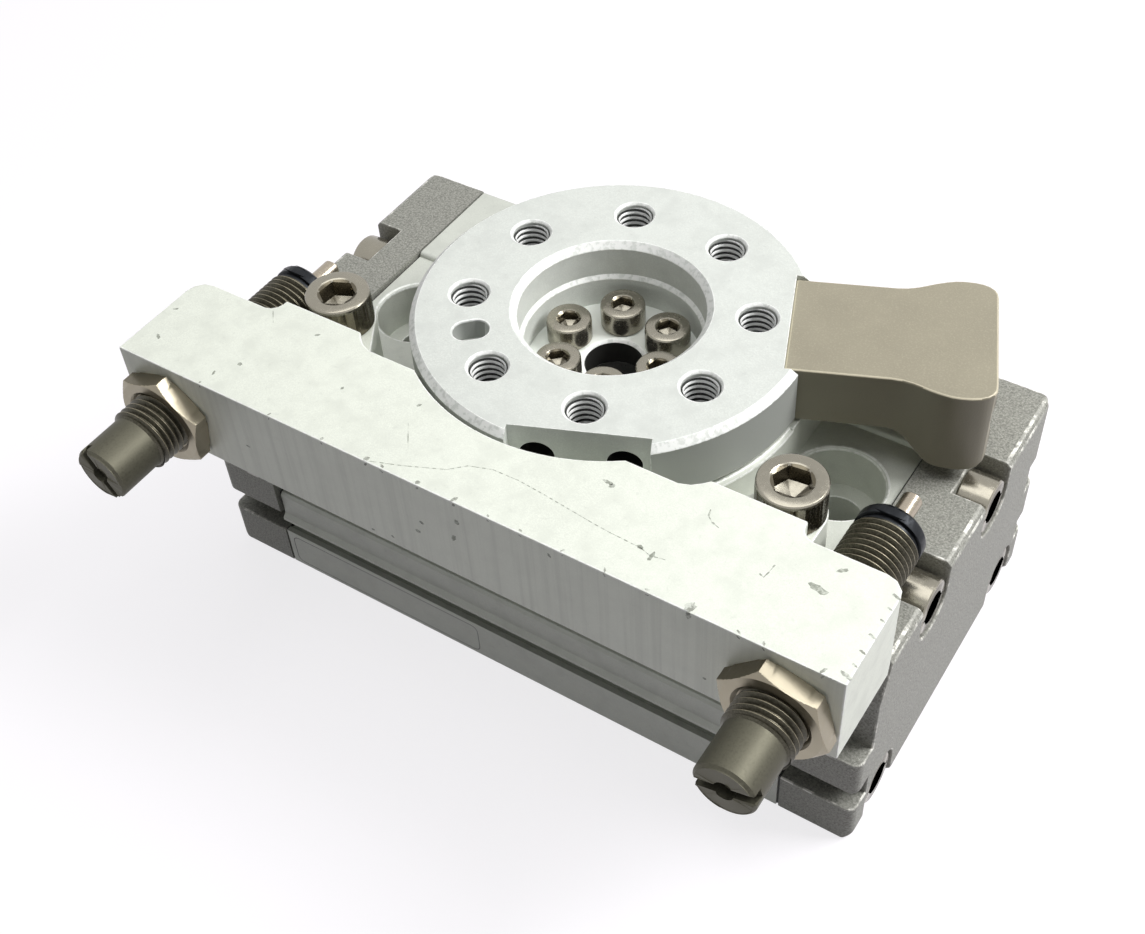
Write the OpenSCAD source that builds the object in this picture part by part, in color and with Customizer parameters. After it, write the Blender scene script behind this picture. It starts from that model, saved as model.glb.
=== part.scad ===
// Rack and pinion rotary table with a bar carrying two shock absorbers and an arm that meets them.
// Millimetres. Z is the table axis, z = 0 the mounting face, +X the right end, -Y the absorber side.

/* [Body] */
// Length of the body between the two end gaskets
body_length = 93; // [92:0.5:94]
// Table axis to the front face of the body
body_front = 32; // [31.8:0.1:33]
// Table axis to the rear face of the body
body_back = 31.3; // [31.2:0.1:33]
// Table axis to the set-back front face above the sensor band
upper_front = 28; // [27.8:0.1:29]
// Height of the covers and of the rear part of the body
body_height = 37; // [36.6:0.1:37.2]
// Depth of the recess in the top face around the boss
top_recess = 0.8; // [0.5:0.1:1.2]
// Table axis to the step at the back of the recess
recess_back = 11.6; // [10:0.2:14]
// Height of the front sensor band
band_top = 16.8; // [16.5:0.1:18]
// Width of the opening of each sensor groove
groove_mouth = 2.6; // [2.2:0.1:2.8]
// Diameter of the round floor of each sensor groove
groove_round = 4.2; // [3.8:0.1:4.4]
// Height of the middle of the sensor grooves
groove_height = 9.5; // [9.4:0.1:9.8]

/* [Boss and mounting] */
// Distance of the edge of the boss outside the edge of the table
boss_margin = 0.4; // [0.2:0.05:0.45]
// Height of the boss above the body
boss_height = 6.4; // [6.2:0.1:6.6]
// Table axis to the back of the boss
boss_back = 28; // [26:0.5:30]
// Distance from each end of the body to the mounting hole
mount_inset = 8.5; // [8:0.1:9]
// Diameter of the mounting holes
mount_hole = 8.6; // [8.4:0.1:8.8]
// Diameter of the mounting counterbores
mount_cbore = 14; // [13.5:0.1:14.5]
// Depth of the mounting counterbores below the covers' top
mount_depth = 8.6; // [7:0.1:8.8]
// Diameter of the locating bore in the mounting face
locating_bore = 40; // [39:0.5:41]
// Depth of the locating bore
locating_depth = 2.2; // [2:0.1:2.4]

/* [Covers] */
// Thickness of each end cover
cover_thick = 11.6; // [11.4:0.1:12.6]
// Thickness of each end gasket
gasket_thick = 0.4; // [0.3:0.1:0.6]
// Bevel along the outer top edge of each cover
cover_bevel = 0.8; // [0.5:0.1:1.2]
// Distance of the upper cover screws below the top of the covers
cover_screw_drop = 4.8; // [4.6:0.1:5]
// Distance between the upper cover screws
cover_screw_spread = 21.4; // [21:0.1:22]
// Height of the lower cover screws
cover_screw_low = 4.8; // [4.7:0.1:4.9]
// Distance between the lower cover screws
cover_low_spread = 45.2; // [44:0.1:46]
// Diameter of the two air ports in the left cover
port_core = 4.2; // [4.1:0.1:4.4]
// Length of the cover screws inside the body
cover_thread = 5.3; // [5:0.1:5.6]
// Depth of the slots across the ends and along the rear face
slot_floor = 4; // [3.8:0.1:4.1]

/* [Cylinders and pistons] */
// Diameter of the two cylinder bores
bore_size = 18; // [17.8:0.1:18.2]
// Table axis to each cylinder axis
bore_offset = 16; // [15.9:0.1:16.1]
// Height of the cylinder axes
bore_height = 17; // [16.9:0.1:17.1]
// Radial gap between piston and bore
piston_gap = 0.07; // [0.05:0.01:0.12]
// Overall length of each piston
piston_length = 63.2; // [62.8:0.2:63.4]
// Length of the cut-away part that carries the rack
rack_length = 50; // [49.6:0.2:50.4]
// Distance of each piston from the middle of its bore at rest
piston_shift = 11.86; // [11.6:0.02:12]
// Width of each piston seal
seal_width = 2.2; // [2:0.1:2.3]
// Depth of the piston seal grooves
seal_depth = 1.9; // [1.6:0.1:2.1]
// Width of each wear ring
wear_width = 1.8; // [1.6:0.1:2]
// Diameter of the magnets in the front piston
magnet_size = 6; // [5:0.5:8]

/* [Gear] */
// Gear module
gear_module = 1; // [1:0.01:1.01]
// Pinion teeth
pinion_teeth = 20; // [20:2:20]
// Clearance on each tooth flank
flank_gap = 0.05; // [0.03:0.01:0.08]
// Length of the pinion teeth
tooth_length = 11.4; // [10.5:0.1:11.6]
// Diameter of the drive pin between pinion and table
pin_size = 3; // [2.8:0.1:3.2]
// Table axis to the drive pin
pin_circle = 10; // [9.9:0.1:10.1]

/* [Bearings] */
// Distance from the edge of the table to the outside of the upper bearing
bearing_inset = 6.5; // [6.3:0.05:6.7]
// Distance between outside and bore of the upper bearing
bearing_section = 6; // [5.8:0.1:6.2]
// Width of the upper bearing
upper_width = 7; // [6.8:0.1:7]
// Depth of the seat of the upper bearing below the top of the boss
upper_depth = 10; // [9.9:0.1:10.1]
// Outer diameter of the lower bearing
lower_outer = 24; // [23.6:0.2:24.2]
// Bore of the lower bearing
lower_bore = 15; // [14.8:0.1:15.2]
// Width of the lower bearing
lower_width = 5; // [4.8:0.1:5]
// Height of the shoulder above the lower bearing
lower_seat = 8.2; // [8.1:0.1:8.3]

/* [Table] */
// Diameter of the table
table_size = 60; // [59.6:0.1:60.2]
// Thickness of the table
table_thick = 10; // [9.8:0.1:10.4]
// Gap between boss and table
table_gap = 0.6; // [0.4:0.1:0.8]
// Chamfer around the top of the table
table_chamfer = 1; // [0.6:0.1:1.4]
// Diameter of the centre bore of the table
table_bore = 28; // [27.6:0.1:28.2]
// Depth of the floor inside the centre bore
bore_depth = 11.2; // [11:0.1:11.4]
// Pitch circle of the threaded holes of the table
table_pcd = 43; // [42.8:0.1:43.2]
// Number of threaded holes in the table
table_holes = 8; // [8:8:8]
// Core diameter of the threaded holes of the table
table_core = 5; // [4.8:0.1:5.2]
// Width of the locating slot in the table
slot_width = 4; // [3.6:0.1:4.2]
// Length of the locating slot
slot_length = 5.4; // [5:0.1:5.8]
// Depth of the locating slot
slot_depth = 3.5; // [3:0.1:4]
// Angle of the locating slot from the arm
slot_turn = 202.5; // [202:0.1:203]
// Angle of the first table screw from the arm
hub_turn = 30; // [29:0.5:31]
// Diameter of the hollow through the rotor
hollow_size = 9; // [8.6:0.1:9.2]
// Pitch circle of the screws that hold the table to the pinion
hub_pcd = 17.6; // [17.4:0.1:17.8]
// Length of those screws inside the pinion
hub_thread = 5.5; // [5.2:0.1:6]
// Table axis to the flats for the arm
flat_distance = 26.2; // [26:0.1:26.6]
// Width of the flats for the arm
flat_width = 20.2; // [20:0.1:20.4]

/* [Arm] */
// Angle of the arm from +X at rest
arm_angle = 22.03; // [21.9:0.01:22.1]
// Table axis to the outer end of the arm
arm_reach = 55.5; // [55:0.1:56]
// Distance of the top of the arm below the top of the table
arm_drop = 0.5; // [0:0.1:0.8]
// Width of the neck of the arm
neck_width = 19.6; // [19.2:0.1:19.8]
// Thickness of the neck of the arm
neck_thick = 9.7; // [9.5:0.1:9.7]
// Width of the end of the arm
lobe_width = 25; // [24.6:0.1:25.2]
// Thickness of the end of the arm
lobe_thick = 14.1; // [13.5:0.1:14.2]
// Distance between the two arm screws
arm_screw_spread = 12.4; // [12.2:0.1:12.8]
// Depth of the arm screws below the top of the arm
arm_screw_depth = 5.1; // [4.9:0.1:5.2]
// Depth of the arm screw pockets from the outer end of the arm
arm_pocket = 9.5; // [9.3:0.1:10]
// Length of the arm screws inside the table
arm_thread = 5.2; // [5:0.1:5.4]

/* [Shock absorbers] */
// Distance from each end of the bar to the absorber axis
absorber_inset = 8; // [7.8:0.1:8.2]
// Gap between the covers and the absorbers above them
absorber_lift = 2; // [2:0.1:2.3]
// Thread diameter of the absorbers
absorber_size = 10; // [9.8:0.1:10.1]
// Radial gap of the absorbers in the bar
absorber_gap = 0.05; // [0.03:0.01:0.1]
// Length of the absorber tube
tube_length = 46.9; // [46.6:0.1:47.2]
// Table axis to the front end of the left absorber
left_front = 58.2; // [57.8:0.1:58.4]
// Table axis to the front end of the right absorber
right_front = 57.6; // [57.4:0.1:58]
// Diameter of the absorber rods
rod_size = 3; // [2.8:0.1:3.2]
// Length of the rod outside the tube
rod_reach = 6.5; // [6.2:0.1:6.6]
// Width across flats of the lock nuts
nut_flats = 14; // [13.6:0.1:14.2]
// Thickness of the lock nuts
nut_thick = 3; // [2.8:0.1:3.4]
// Length of the unthreaded front end of the absorbers
plain_end = 7.7; // [7.4:0.1:8]
// Width of the screwdriver slot in the front end of the absorbers
driver_width = 1.4; // [1.2:0.1:1.5]
// Depth of the screwdriver slot
driver_depth = 1.6; // [1.4:0.1:2]

/* [Absorber bar] */
// Distance of the ends of the bar outside the covers
bar_overhang = 0.3; // [0:0.1:0.5]
// Table axis to the front face of the bar
bar_front = 42.9; // [42.6:0.1:43.2]
// Table axis to the rear face of the bar near its ends
bar_back = 25.2; // [25:0.1:25.4]
// Gap between the covers and the underside of the bar
bar_lift = 0.3; // [0.3:0.1:0.6]
// Thickness of the bar from top to underside
bar_thick = 15.9; // [15.6:0.1:16.2]
// Gap between the table and the cut-out of the bar
bar_gap = 0.6; // [0.55:0.05:1]
// Distance from each end of the bar to the lug screw
lug_inset = 20.35; // [20.25:0.05:20.5]
// Table axis to the lug screws
lug_depth = 16.9; // [16.7:0.1:17.1]
// Radius of the rounded end of each lug
lug_radius = 5.1; // [5:0.05:5.3]
// Height of the lugs above the covers
lug_rise = 10; // [9.8:0.1:10.2]
// Wall between the cylinder bores and the ends of the lug screws
bore_wall = 3; // [2.6:0.1:3.2]

/* [Fasteners] */
// Thread diameter of the lug screws
lug_screw = 6; // [5.8:0.1:6]
// Thread diameter of the cover screws and arm screws
mid_screw = 5; // [4.8:0.1:5]
// Thread diameter of the screws between table and pinion
hub_screw = 4; // [3.8:0.1:4]
// Thread diameter of the retainer screws
ring_screw = 2.5; // [2.3:0.1:2.5]
// Radial clearance of the screw holes
hole_gap = 0.25; // [0.15:0.05:0.3]

/* [Hidden] */
$fn = 48;

eps = 0.01;
silver = [0.76, 0.78, 0.76];
castGrey = [0.5, 0.5, 0.48];
steel = [0.7, 0.69, 0.66];
dark = [0.18, 0.17, 0.15];
rubber = [0.06, 0.06, 0.06];

half_body = body_length / 2;
cover_inner = half_body + gasket_thick;
cover_end = cover_inner + cover_thick;
top_floor = body_height - top_recess;
screw_centre = (body_back - body_front) / 2;
slot_low = groove_height - 1.5;
slot_high = groove_height + 2.9;
ledge = 19.5;
rear_slot_top = 25;
edge_bevel = 0.3;
bore_radius = bore_size / 2;
lug_screw_end = bore_height + bore_radius + bore_wall;
piston_radius = bore_radius - piston_gap;
passage_radius = 1.3;
front_passage = [-25.4, 23];
rear_passage = [27.6, 15.6];
cross_depth = cover_inner + 5.2;
pocket_depth = 1.5;
pocket_overlap = 4;
plug_length = 2.4;
port_bevel = 0.6;
cover_front_corner = 1.5;
cover_rear_corner = 2;
cover_foot_bevel = 1.2;
cover_slope = 7.5;
gasket_inset = 0.3;

mount_pitch = body_length - 2 * mount_inset;
mount_seat = body_height - mount_depth;
boss_radius = table_size / 2 + boss_margin;
boss_top = body_height + boss_height;
upper_outer = table_size - 2 * bearing_inset;
upper_bore = upper_outer - 2 * bearing_section;
bar_relief = table_size / 2 + bar_gap;
bar_half = cover_end + bar_overhang;
absorber_offset = bar_half - absorber_inset;
absorber_height = body_height + absorber_size / 2 + absorber_lift;
bar_bottom = body_height + bar_lift;
bar_top = bar_bottom + bar_thick;
lug_seat = body_height + lug_rise;
lug_pitch = 2 * (bar_half - lug_inset);
lug_outer = lug_pitch / 2 + lug_radius;
lug_inner = lug_pitch / 2 - 9.85;
left_driver_turn = 60;
right_driver_turn = -15;
left_nut_turn = 19.5;
right_nut_turn = 45.5;
chamber_radius = absorber_size * 0.33;
chamber_start = 10;
gland_length = 4.9;
piston_thick = 4;
groove_place = 2;
front_hole = 1.4;
front_hole_depth = 4.5;
left_socket_turn = 25;
right_socket_turn = 6;

pitch_radius = gear_module * pinion_teeth / 2;
tip_radius = pitch_radius + gear_module;
root_radius = pitch_radius - 1.25 * gear_module;
pressure_angle = 20;
base_radius = pitch_radius * cos(pressure_angle);
pitch = PI * gear_module;
rack_pitch_line = bore_offset - pitch_radius;
tip_plane = rack_pitch_line + gear_module;
root_plane = rack_pitch_line - 1.25 * gear_module;
piston_half = piston_length / 2;
rack_half = rack_length / 2;
seal_start = rack_half + wear_width + 0.8;
wear_depth = 0.9;
magnet_length = 2;
magnet_sink = 0.1;

upper_seat = boss_top - upper_depth;
retainer_seat = upper_seat + upper_width;
retainer_top = boss_top - 0.4;
retainer_radius = boss_radius - 1.6;
ring_thread = 5.5;
retainer_circle = (retainer_radius + upper_outer / 2) / 2;
table_bottom = boss_top + table_gap;
table_top = table_bottom + table_thick;
table_floor = table_top - bore_depth;
hub_radius = (table_bore - 1.1) / 2;
hub_top = table_floor - 4.5;
flange_bottom = upper_seat - 5;
flange_radius = upper_bore / 2 + 1.3;
journal_radius = lower_bore / 2;
shaft_bottom = locating_depth + 0.3;
lower_floor = lower_seat - lower_width;
cavity_floor = bore_height - tooth_length / 2 - 0.5;
neck_radius = root_radius - 0.05;

mid_head = mid_screw * 1.7;
cover_seat = cover_end - 0.3 - mid_screw;
cover_screw_top = body_height - cover_screw_drop;
pocket_radius = mid_head / 2 + 0.35;
arm_seat = arm_reach - arm_pocket;
arm_top = table_top - arm_drop;
neck_bottom = arm_top - neck_thick;
lobe_bottom = arm_top - lobe_thick;
arm_screw_height = arm_top - arm_screw_depth;
thread_gap = 0.02;
thread_spare = 1.2;
hub_spare = 1;
pin_cover = 1.2;
pin_sink = 3.5;
arm_spare = 0.2;
cavity_gap = 1.3;
flange_gap = 0.8;
shoulder = 1.6;
slot_middle = table_pcd / 2 - 0.5;
slot_straight = slot_length - slot_width;
hole_bevel = 0.7;
flat_turns = [0, -90];

module along_x(radius, from, to, y, z, sides = 32)
{
    translate([from, y, z])
        rotate([0, 90, 0])
            cylinder(r = radius, h = to - from, $fn = sides);
}

module along_y(radius, from, to, x, z, sides = 32)
{
    translate([x, from, z])
        rotate([-90, 0, 0])
            cylinder(r = radius, h = to - from, $fn = sides);
}

module upright(radius, from, to, x = 0, y = 0, sides = 32)
{
    translate([x, y, from])
        cylinder(r = radius, h = to - from, $fn = sides);
}

// Extrudes a y-z outline along X
module along_x_outline(from, to, outline)
{
    translate([from, 0, 0])
        rotate([90, 0, 90])
            linear_extrude(height = to - from)
                polygon(outline);
}

// Head on top of z = 0 and as high as the thread is wide, shank below it
module cap_screw(size, length, head)
{
    head_height = size;
    socket = size - 1;
    difference()
    {
        union()
        {
            rotate_extrude($fn = 32)
                polygon([[0, 0], [head / 2 - 0.1, 0], [head / 2, 0.1], [head / 2, head_height - edge_bevel],
                    [head / 2 - edge_bevel, head_height], [0, head_height]]);
            rotate_extrude($fn = 24)
                polygon([[0, eps], [size / 2, eps], [size / 2, 0.4 - length],
                    [size / 2 - 0.4, -length], [0, -length]]);
        }
        translate([0, 0, head_height - socket * 0.6])
            cylinder(r = socket / 2 / cos(30), h = socket, $fn = 6);
    }
}

function arc(cx, cy, r, a0, a1, n) =
    [for (i = [0 : n]) [cx + r * cos(a0 + (a1 - a0) * i / n), cy + r * sin(a0 + (a1 - a0) * i / n)]];

// Body

module body_section(from, to)
{
    r = top_recess;
    along_x_outline(from, to, concat(
        [[-body_front, edge_bevel], [-body_front + edge_bevel, 0], [body_back - edge_bevel, 0],
            [body_back, edge_bevel]],
        [[body_back, ledge], [body_back - slot_floor, ledge], [body_back - slot_floor, rear_slot_top],
            [body_back, rear_slot_top], [body_back, body_height - 0.4], [body_back - 0.4, body_height]],
        arc(recess_back + r, body_height - r, r, 90, 180, 4),
        [[-upper_front, top_floor], [-upper_front, band_top], [1.2 - body_front, band_top],
            [0.7 - body_front, band_top - 0.5], [0.7 - body_front, groove_height + 2.6],
            [-body_front, groove_height + 1.9]]));
}

module sensor_groove(face, direction)
{
    axis = face - direction * (groove_round / 2 + 0.4);
    along_x(groove_round / 2, -half_body - 1, half_body + 1, axis, groove_height, 24);
    translate([-half_body - 1, min(axis, face + direction), groove_height - groove_mouth / 2])
        cube([body_length + 2, abs(face + direction - axis), groove_mouth]);
}

module boss()
{
    rotate_extrude($fn = 96)
        polygon([[0, top_floor - 5], [boss_radius, top_floor - 5], [boss_radius, boss_top - 0.6],
            [boss_radius - 0.6, boss_top], [0, boss_top]]);
    translate([0, 0, top_floor - 5])
        linear_extrude(height = boss_top - top_floor + 5)
            polygon(concat([[-boss_radius, 0], [boss_radius, 0]],
                arc(boss_radius - 3, boss_back - 3, 3, 0, 90, 5),
                arc(3 - boss_radius, boss_back - 3, 3, 90, 180, 5)));
}

module body()
{
    color(silver)
    difference()
    {
        union()
        {
            body_section(-half_body, half_body);
            boss();
        }
        sensor_groove(-body_front, -1);
        sensor_groove(body_back, 1);
        for (side = [-1, 1])
        {
            along_x(bore_radius, -half_body - 1, half_body + 1, side * bore_offset, bore_height, 48);
            translate([side * mount_pitch / 2, 0, 0])
            {
                upright(mount_hole / 2, -1, mount_seat + 1);
                upright(mount_cbore / 2, mount_seat, boss_top, sides = 48);
                translate([0, 0, top_floor - 0.4])
                    cylinder(r1 = mount_cbore / 2, r2 = mount_cbore / 2 + 0.5, h = 0.5, $fn = 48);
                translate([0, 0, -eps])
                    cylinder(r1 = mount_hole / 2 + hole_bevel, r2 = mount_hole / 2, h = hole_bevel);
            }
            upright(lug_screw / 2 + thread_gap, lug_screw_end - thread_spare, body_height + 1,
                side * lug_pitch / 2, -lug_depth, 24);
        }
        along_x(passage_radius, -half_body - 1, half_body + 1, front_passage[0], front_passage[1], 16);
        along_x(passage_radius, -half_body - 1, half_body + 1, rear_passage[0], rear_passage[1], 16);
        for (end = [-1, 1])
            cover_screw_places()
                along_x(mid_screw / 2 + thread_gap, end * half_body - cover_thread - thread_spare,
                    end * half_body + cover_thread + thread_spare, 0, 0, 24);
        upright(locating_bore / 2, -1, locating_depth, sides = 64);
        upright(lower_outer / 2, locating_depth - 1, lower_seat);
        upright(lower_outer / 2 - shoulder, lower_seat - 1, upper_seat);
        upright(tip_radius + cavity_gap, cavity_floor, upper_seat, sides = 48);
        upright(flange_radius + flange_gap, flange_bottom - 0.3, upper_seat + 1, sides = 64);
        upright(upper_outer / 2, upper_seat, boss_top + 1, sides = 64);
        upright(retainer_radius + 0.05, retainer_seat, boss_top + 1, sides = 64);
        retainer_screw_places()
            upright(ring_screw / 2 + thread_gap, retainer_seat - ring_thread - 1, retainer_seat + 1,
                sides = 16);
    }
}

// End covers

module cover_screw_places()
{
    for (side = [-1, 1])
    {
        translate([0, screw_centre + side * cover_screw_spread / 2, cover_screw_top])
            children();
        translate([0, screw_centre + side * cover_low_spread / 2, cover_screw_low])
            children();
    }
}

module cover_block()
{
    intersection()
    {
        along_x_outline(cover_inner, cover_end, [[-body_front, 0], [body_back, 0], [body_back, slot_low],
            [body_back - slot_floor, slot_low], [body_back - slot_floor, slot_high], [body_back, slot_high],
            [body_back, ledge], [body_back - slot_floor, ledge], [body_back - slot_floor, rear_slot_top],
            [body_back, rear_slot_top], [body_back, body_height], [-bar_back, body_height],
            [-upper_front, body_height - cover_slope], [-upper_front, ledge], [-body_front, ledge],
            [-body_front, slot_high], [slot_floor - body_front, slot_high],
            [slot_floor - body_front, slot_low], [-body_front, slot_low]]);
        translate([0, 0, -1])
            linear_extrude(height = body_height + 2)
                polygon(concat(arc(cover_end - cover_front_corner, cover_front_corner - body_front,
                        cover_front_corner, -90, 0, 5),
                    arc(cover_end - cover_rear_corner, body_back - cover_rear_corner, cover_rear_corner,
                        0, 90, 5),
                    [[cover_inner - 1, body_back], [cover_inner - 1, -body_front]]));
        translate([0, body_back + 1, 0])
            rotate([90, 0, 0])
                linear_extrude(height = body_back + body_front + 2)
                    polygon([[cover_inner - 1, 0], [cover_end - cover_foot_bevel, 0],
                        [cover_end, cover_foot_bevel],
                        [cover_end, body_height - cover_bevel], [cover_end - cover_bevel, body_height],
                        [cover_inner - 1, body_height]]);
    }
}

module cover_cuts()
{
    for (side = [-1, 1])
    {
        along_x(bore_radius + 0.1, cover_inner - 1, cover_inner + pocket_depth, side * bore_offset,
            bore_height, 48);
        translate([cover_seat, screw_centre + side * cover_screw_spread / 2 - pocket_radius,
            cover_screw_top])
            cube([cover_thick, 2 * pocket_radius, body_height]);
        translate([cover_seat, screw_centre + side * cover_low_spread / 2 - pocket_radius, -1])
            cube([cover_thick, 2 * pocket_radius, cover_screw_low + 1]);
    }
    cover_screw_places()
    {
        along_x(pocket_radius, cover_seat, cover_end + 1, 0, 0);
        along_x(mid_screw / 2 + hole_gap, cover_inner - 1, cover_seat + 1, 0, 0, 24);
    }
}

module left_cover()
{
    color(castGrey)
    mirror([1, 0, 0])
    difference()
    {
        cover_block();
        cover_cuts();
        for (side = [-1, 1])
        {
            along_x(port_core / 2, cover_inner, cover_end + 1, side * bore_offset, bore_height, 24);
            translate([cover_end - port_bevel, side * bore_offset, bore_height])
                rotate([0, 90, 0])
                    cylinder(r1 = port_core / 2, r2 = port_core / 2 + port_bevel, h = port_bevel + eps);
        }
        link_channels(cover_inner - 1, cover_inner + pocket_depth);
    }
}

// Joins each long passage to the chamber beside it
module link_channels(from, to)
{
    translate([from, front_passage[0], front_passage[1] - passage_radius])
        cube([to - from, -bore_offset - pocket_overlap - front_passage[0], 2 * passage_radius]);
    along_x(passage_radius, from, to, front_passage[0], front_passage[1], 16);
    translate([from, bore_offset + pocket_overlap, rear_passage[1] - passage_radius])
        cube([to - from, rear_passage[0] - bore_offset - pocket_overlap, 2 * passage_radius]);
    along_x(passage_radius, from, to, rear_passage[0], rear_passage[1], 16);
}

module right_cover()
{
    color(castGrey)
    difference()
    {
        cover_block();
        cover_cuts();
        along_x(passage_radius, cover_inner - 1, cross_depth, front_passage[0], front_passage[1], 16);
        along_x(passage_radius, cover_inner - 1, cross_depth, bore_offset, front_passage[1], 16);
        along_y(passage_radius, front_passage[0], body_back + 1, cross_depth, front_passage[1], 16);
        along_x(passage_radius, cover_inner - 1, cross_depth, rear_passage[0], rear_passage[1], 16);
        along_x(passage_radius, cover_inner - 1, cross_depth, -bore_offset, rear_passage[1], 16);
        along_y(passage_radius, -bore_offset, body_back + 1, cross_depth, rear_passage[1], 16);
    }
}

module passage_plugs()
{
    color(steel)
    {
        along_y(passage_radius, body_back - slot_floor - 0.2 - plug_length, body_back - slot_floor - 0.2,
            cross_depth, front_passage[1], 16);
        along_y(passage_radius, body_back - 0.3 - plug_length, body_back - 0.3, cross_depth,
            rear_passage[1], 16);
    }
}

module gasket()
{
    inset = gasket_inset;
    rear = body_back - inset;
    difference()
    {
        along_x_outline(half_body, cover_inner, [[inset - body_front, inset], [rear, inset],
            [rear, slot_low - inset], [body_back - slot_floor, slot_low - inset],
            [body_back - slot_floor, slot_high + inset], [rear, slot_high + inset],
            [rear, ledge - inset], [rear - slot_floor, ledge - inset],
            [rear - slot_floor, rear_slot_top + inset], [rear, rear_slot_top + inset],
            [rear, top_floor - inset], [-bar_back, top_floor - inset],
            [inset - upper_front, body_height - cover_slope - inset], [inset - upper_front, band_top - inset],
            [1 - body_front, band_top - inset], [1 - body_front, slot_high + inset],
            [slot_floor - body_front, slot_high + inset], [slot_floor - body_front, slot_low - inset],
            [inset - body_front, slot_low - inset]]);
        for (side = [-1, 1])
            along_x(bore_radius + 0.1, half_body - 1, cover_inner + 1, side * bore_offset, bore_height, 48);
        cover_screw_places()
            along_x(mid_screw / 2 + hole_gap, half_body - 1, cover_inner + 1, 0, 0, 24);
    }
}

module left_gasket()
{
    color(rubber)
    mirror([1, 0, 0])
    difference()
    {
        gasket();
        link_channels(half_body - 1, cover_inner + 1);
    }
}

module right_gasket()
{
    color(rubber)
    difference()
    {
        gasket();
        along_x(passage_radius, half_body - 1, cover_inner + 1, front_passage[0], front_passage[1], 16);
        along_x(passage_radius, half_body - 1, cover_inner + 1, rear_passage[0], rear_passage[1], 16);
    }
}

module cover_screws()
{
    color(steel)
    cover_screw_places()
        translate([cover_seat, 0, 0])
            rotate([0, 90, 0])
                cap_screw(mid_screw, cover_seat - half_body + cover_thread, mid_head);
}

module left_cover_screws()
{
    mirror([1, 0, 0])
        cover_screws();
}

module right_cover_screws()
{
    cover_screws();
}

// Bearings

// Width upwards from z = 0, with a round track for the balls
module bearing_ring(inner, outer, width, track, ball)
{
    rotate_extrude($fn = 64)
        difference()
        {
            polygon([[inner, edge_bevel], [inner + edge_bevel, 0], [outer - edge_bevel, 0],
                [outer, edge_bevel], [outer, width - edge_bevel], [outer - edge_bevel, width],
                [inner + edge_bevel, width], [inner, width - edge_bevel]]);
            translate([track, width / 2])
                circle(r = ball + ball_gap, $fn = 24);
        }
}

module bearing_balls(track, ball, count)
{
    for (i = [0 : count - 1])
        rotate([0, 0, i * 360 / count])
            translate([track, 0, 0])
                sphere(r = ball, $fn = 14);
}

ball_gap = 0.06;
upper_track = (upper_outer + upper_bore) / 4;
lower_track = (lower_outer + lower_bore) / 4;
upper_ball = (upper_outer - upper_bore) * 0.16;
lower_ball = (lower_outer - lower_bore) * 0.16;

module upper_bearing_outer()
{
    color(steel)
    translate([0, 0, upper_seat])
        bearing_ring(upper_track + upper_ball * 0.6, upper_outer / 2, upper_width, upper_track, upper_ball);
}

module upper_bearing_inner()
{
    color(steel)
    translate([0, 0, upper_seat])
        bearing_ring(upper_bore / 2, upper_track - upper_ball * 0.6, upper_width, upper_track, upper_ball);
}

module upper_bearing_balls()
{
    color(steel)
    translate([0, 0, upper_seat + upper_width / 2])
        bearing_balls(upper_track, upper_ball, 14);
}

module lower_bearing_outer()
{
    color(steel)
    translate([0, 0, lower_floor])
        bearing_ring(lower_track + lower_ball * 0.6, lower_outer / 2, lower_width, lower_track, lower_ball);
}

module lower_bearing_inner()
{
    color(steel)
    translate([0, 0, lower_floor])
        bearing_ring(lower_bore / 2, lower_track - lower_ball * 0.6, lower_width, lower_track, lower_ball);
}

module lower_bearing_balls()
{
    color(steel)
    translate([0, 0, lower_floor + lower_width / 2])
        bearing_balls(lower_track, lower_ball, 10);
}

module retainer_screw_places()
{
    for (i = [0 : 3])
        rotate([0, 0, 45 + 90 * i])
            translate([retainer_circle, 0, 0])
                children();
}

module bearing_retainer()
{
    color(silver)
    difference()
    {
        upright(retainer_radius, retainer_seat, retainer_top, sides = 64);
        upright(upper_track + upper_ball * 0.8, retainer_seat - 1, retainer_top + 1, sides = 64);
        retainer_screw_places()
        {
            upright(ring_screw / 2 + 0.15, retainer_seat - 1, retainer_top + 1, sides = 16);
            translate([0, 0, retainer_top - 1.3])
                cylinder(r1 = ring_screw / 2 + 0.1, r2 = ring_screw * 0.95, h = 1.3 + eps, $fn = 24);
        }
    }
}

module retainer_screws()
{
    color(steel)
    retainer_screw_places()
        difference()
        {
            union()
            {
                upright(ring_screw / 2, retainer_seat - ring_thread, retainer_top - 1, sides = 16);
                translate([0, 0, retainer_top - 1.35])
                    cylinder(r1 = ring_screw / 2, r2 = ring_screw * 0.92, h = 1.25, $fn = 24);
            }
            translate([0, 0, retainer_top - 0.9])
                cylinder(r = 0.85, h = 2, $fn = 6);
        }
}

// Table, pinion and arm

module hub_screw_places()
{
    for (i = [0 : 5])
        rotate([0, 0, arm_angle + hub_turn + 60 * i])
            translate([hub_pcd / 2, 0, 0])
                children();
}

module arm_screw_places()
{
    for (side = [-1, 1])
        translate([0, side * arm_screw_spread / 2, arm_screw_height])
            children();
}

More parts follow.
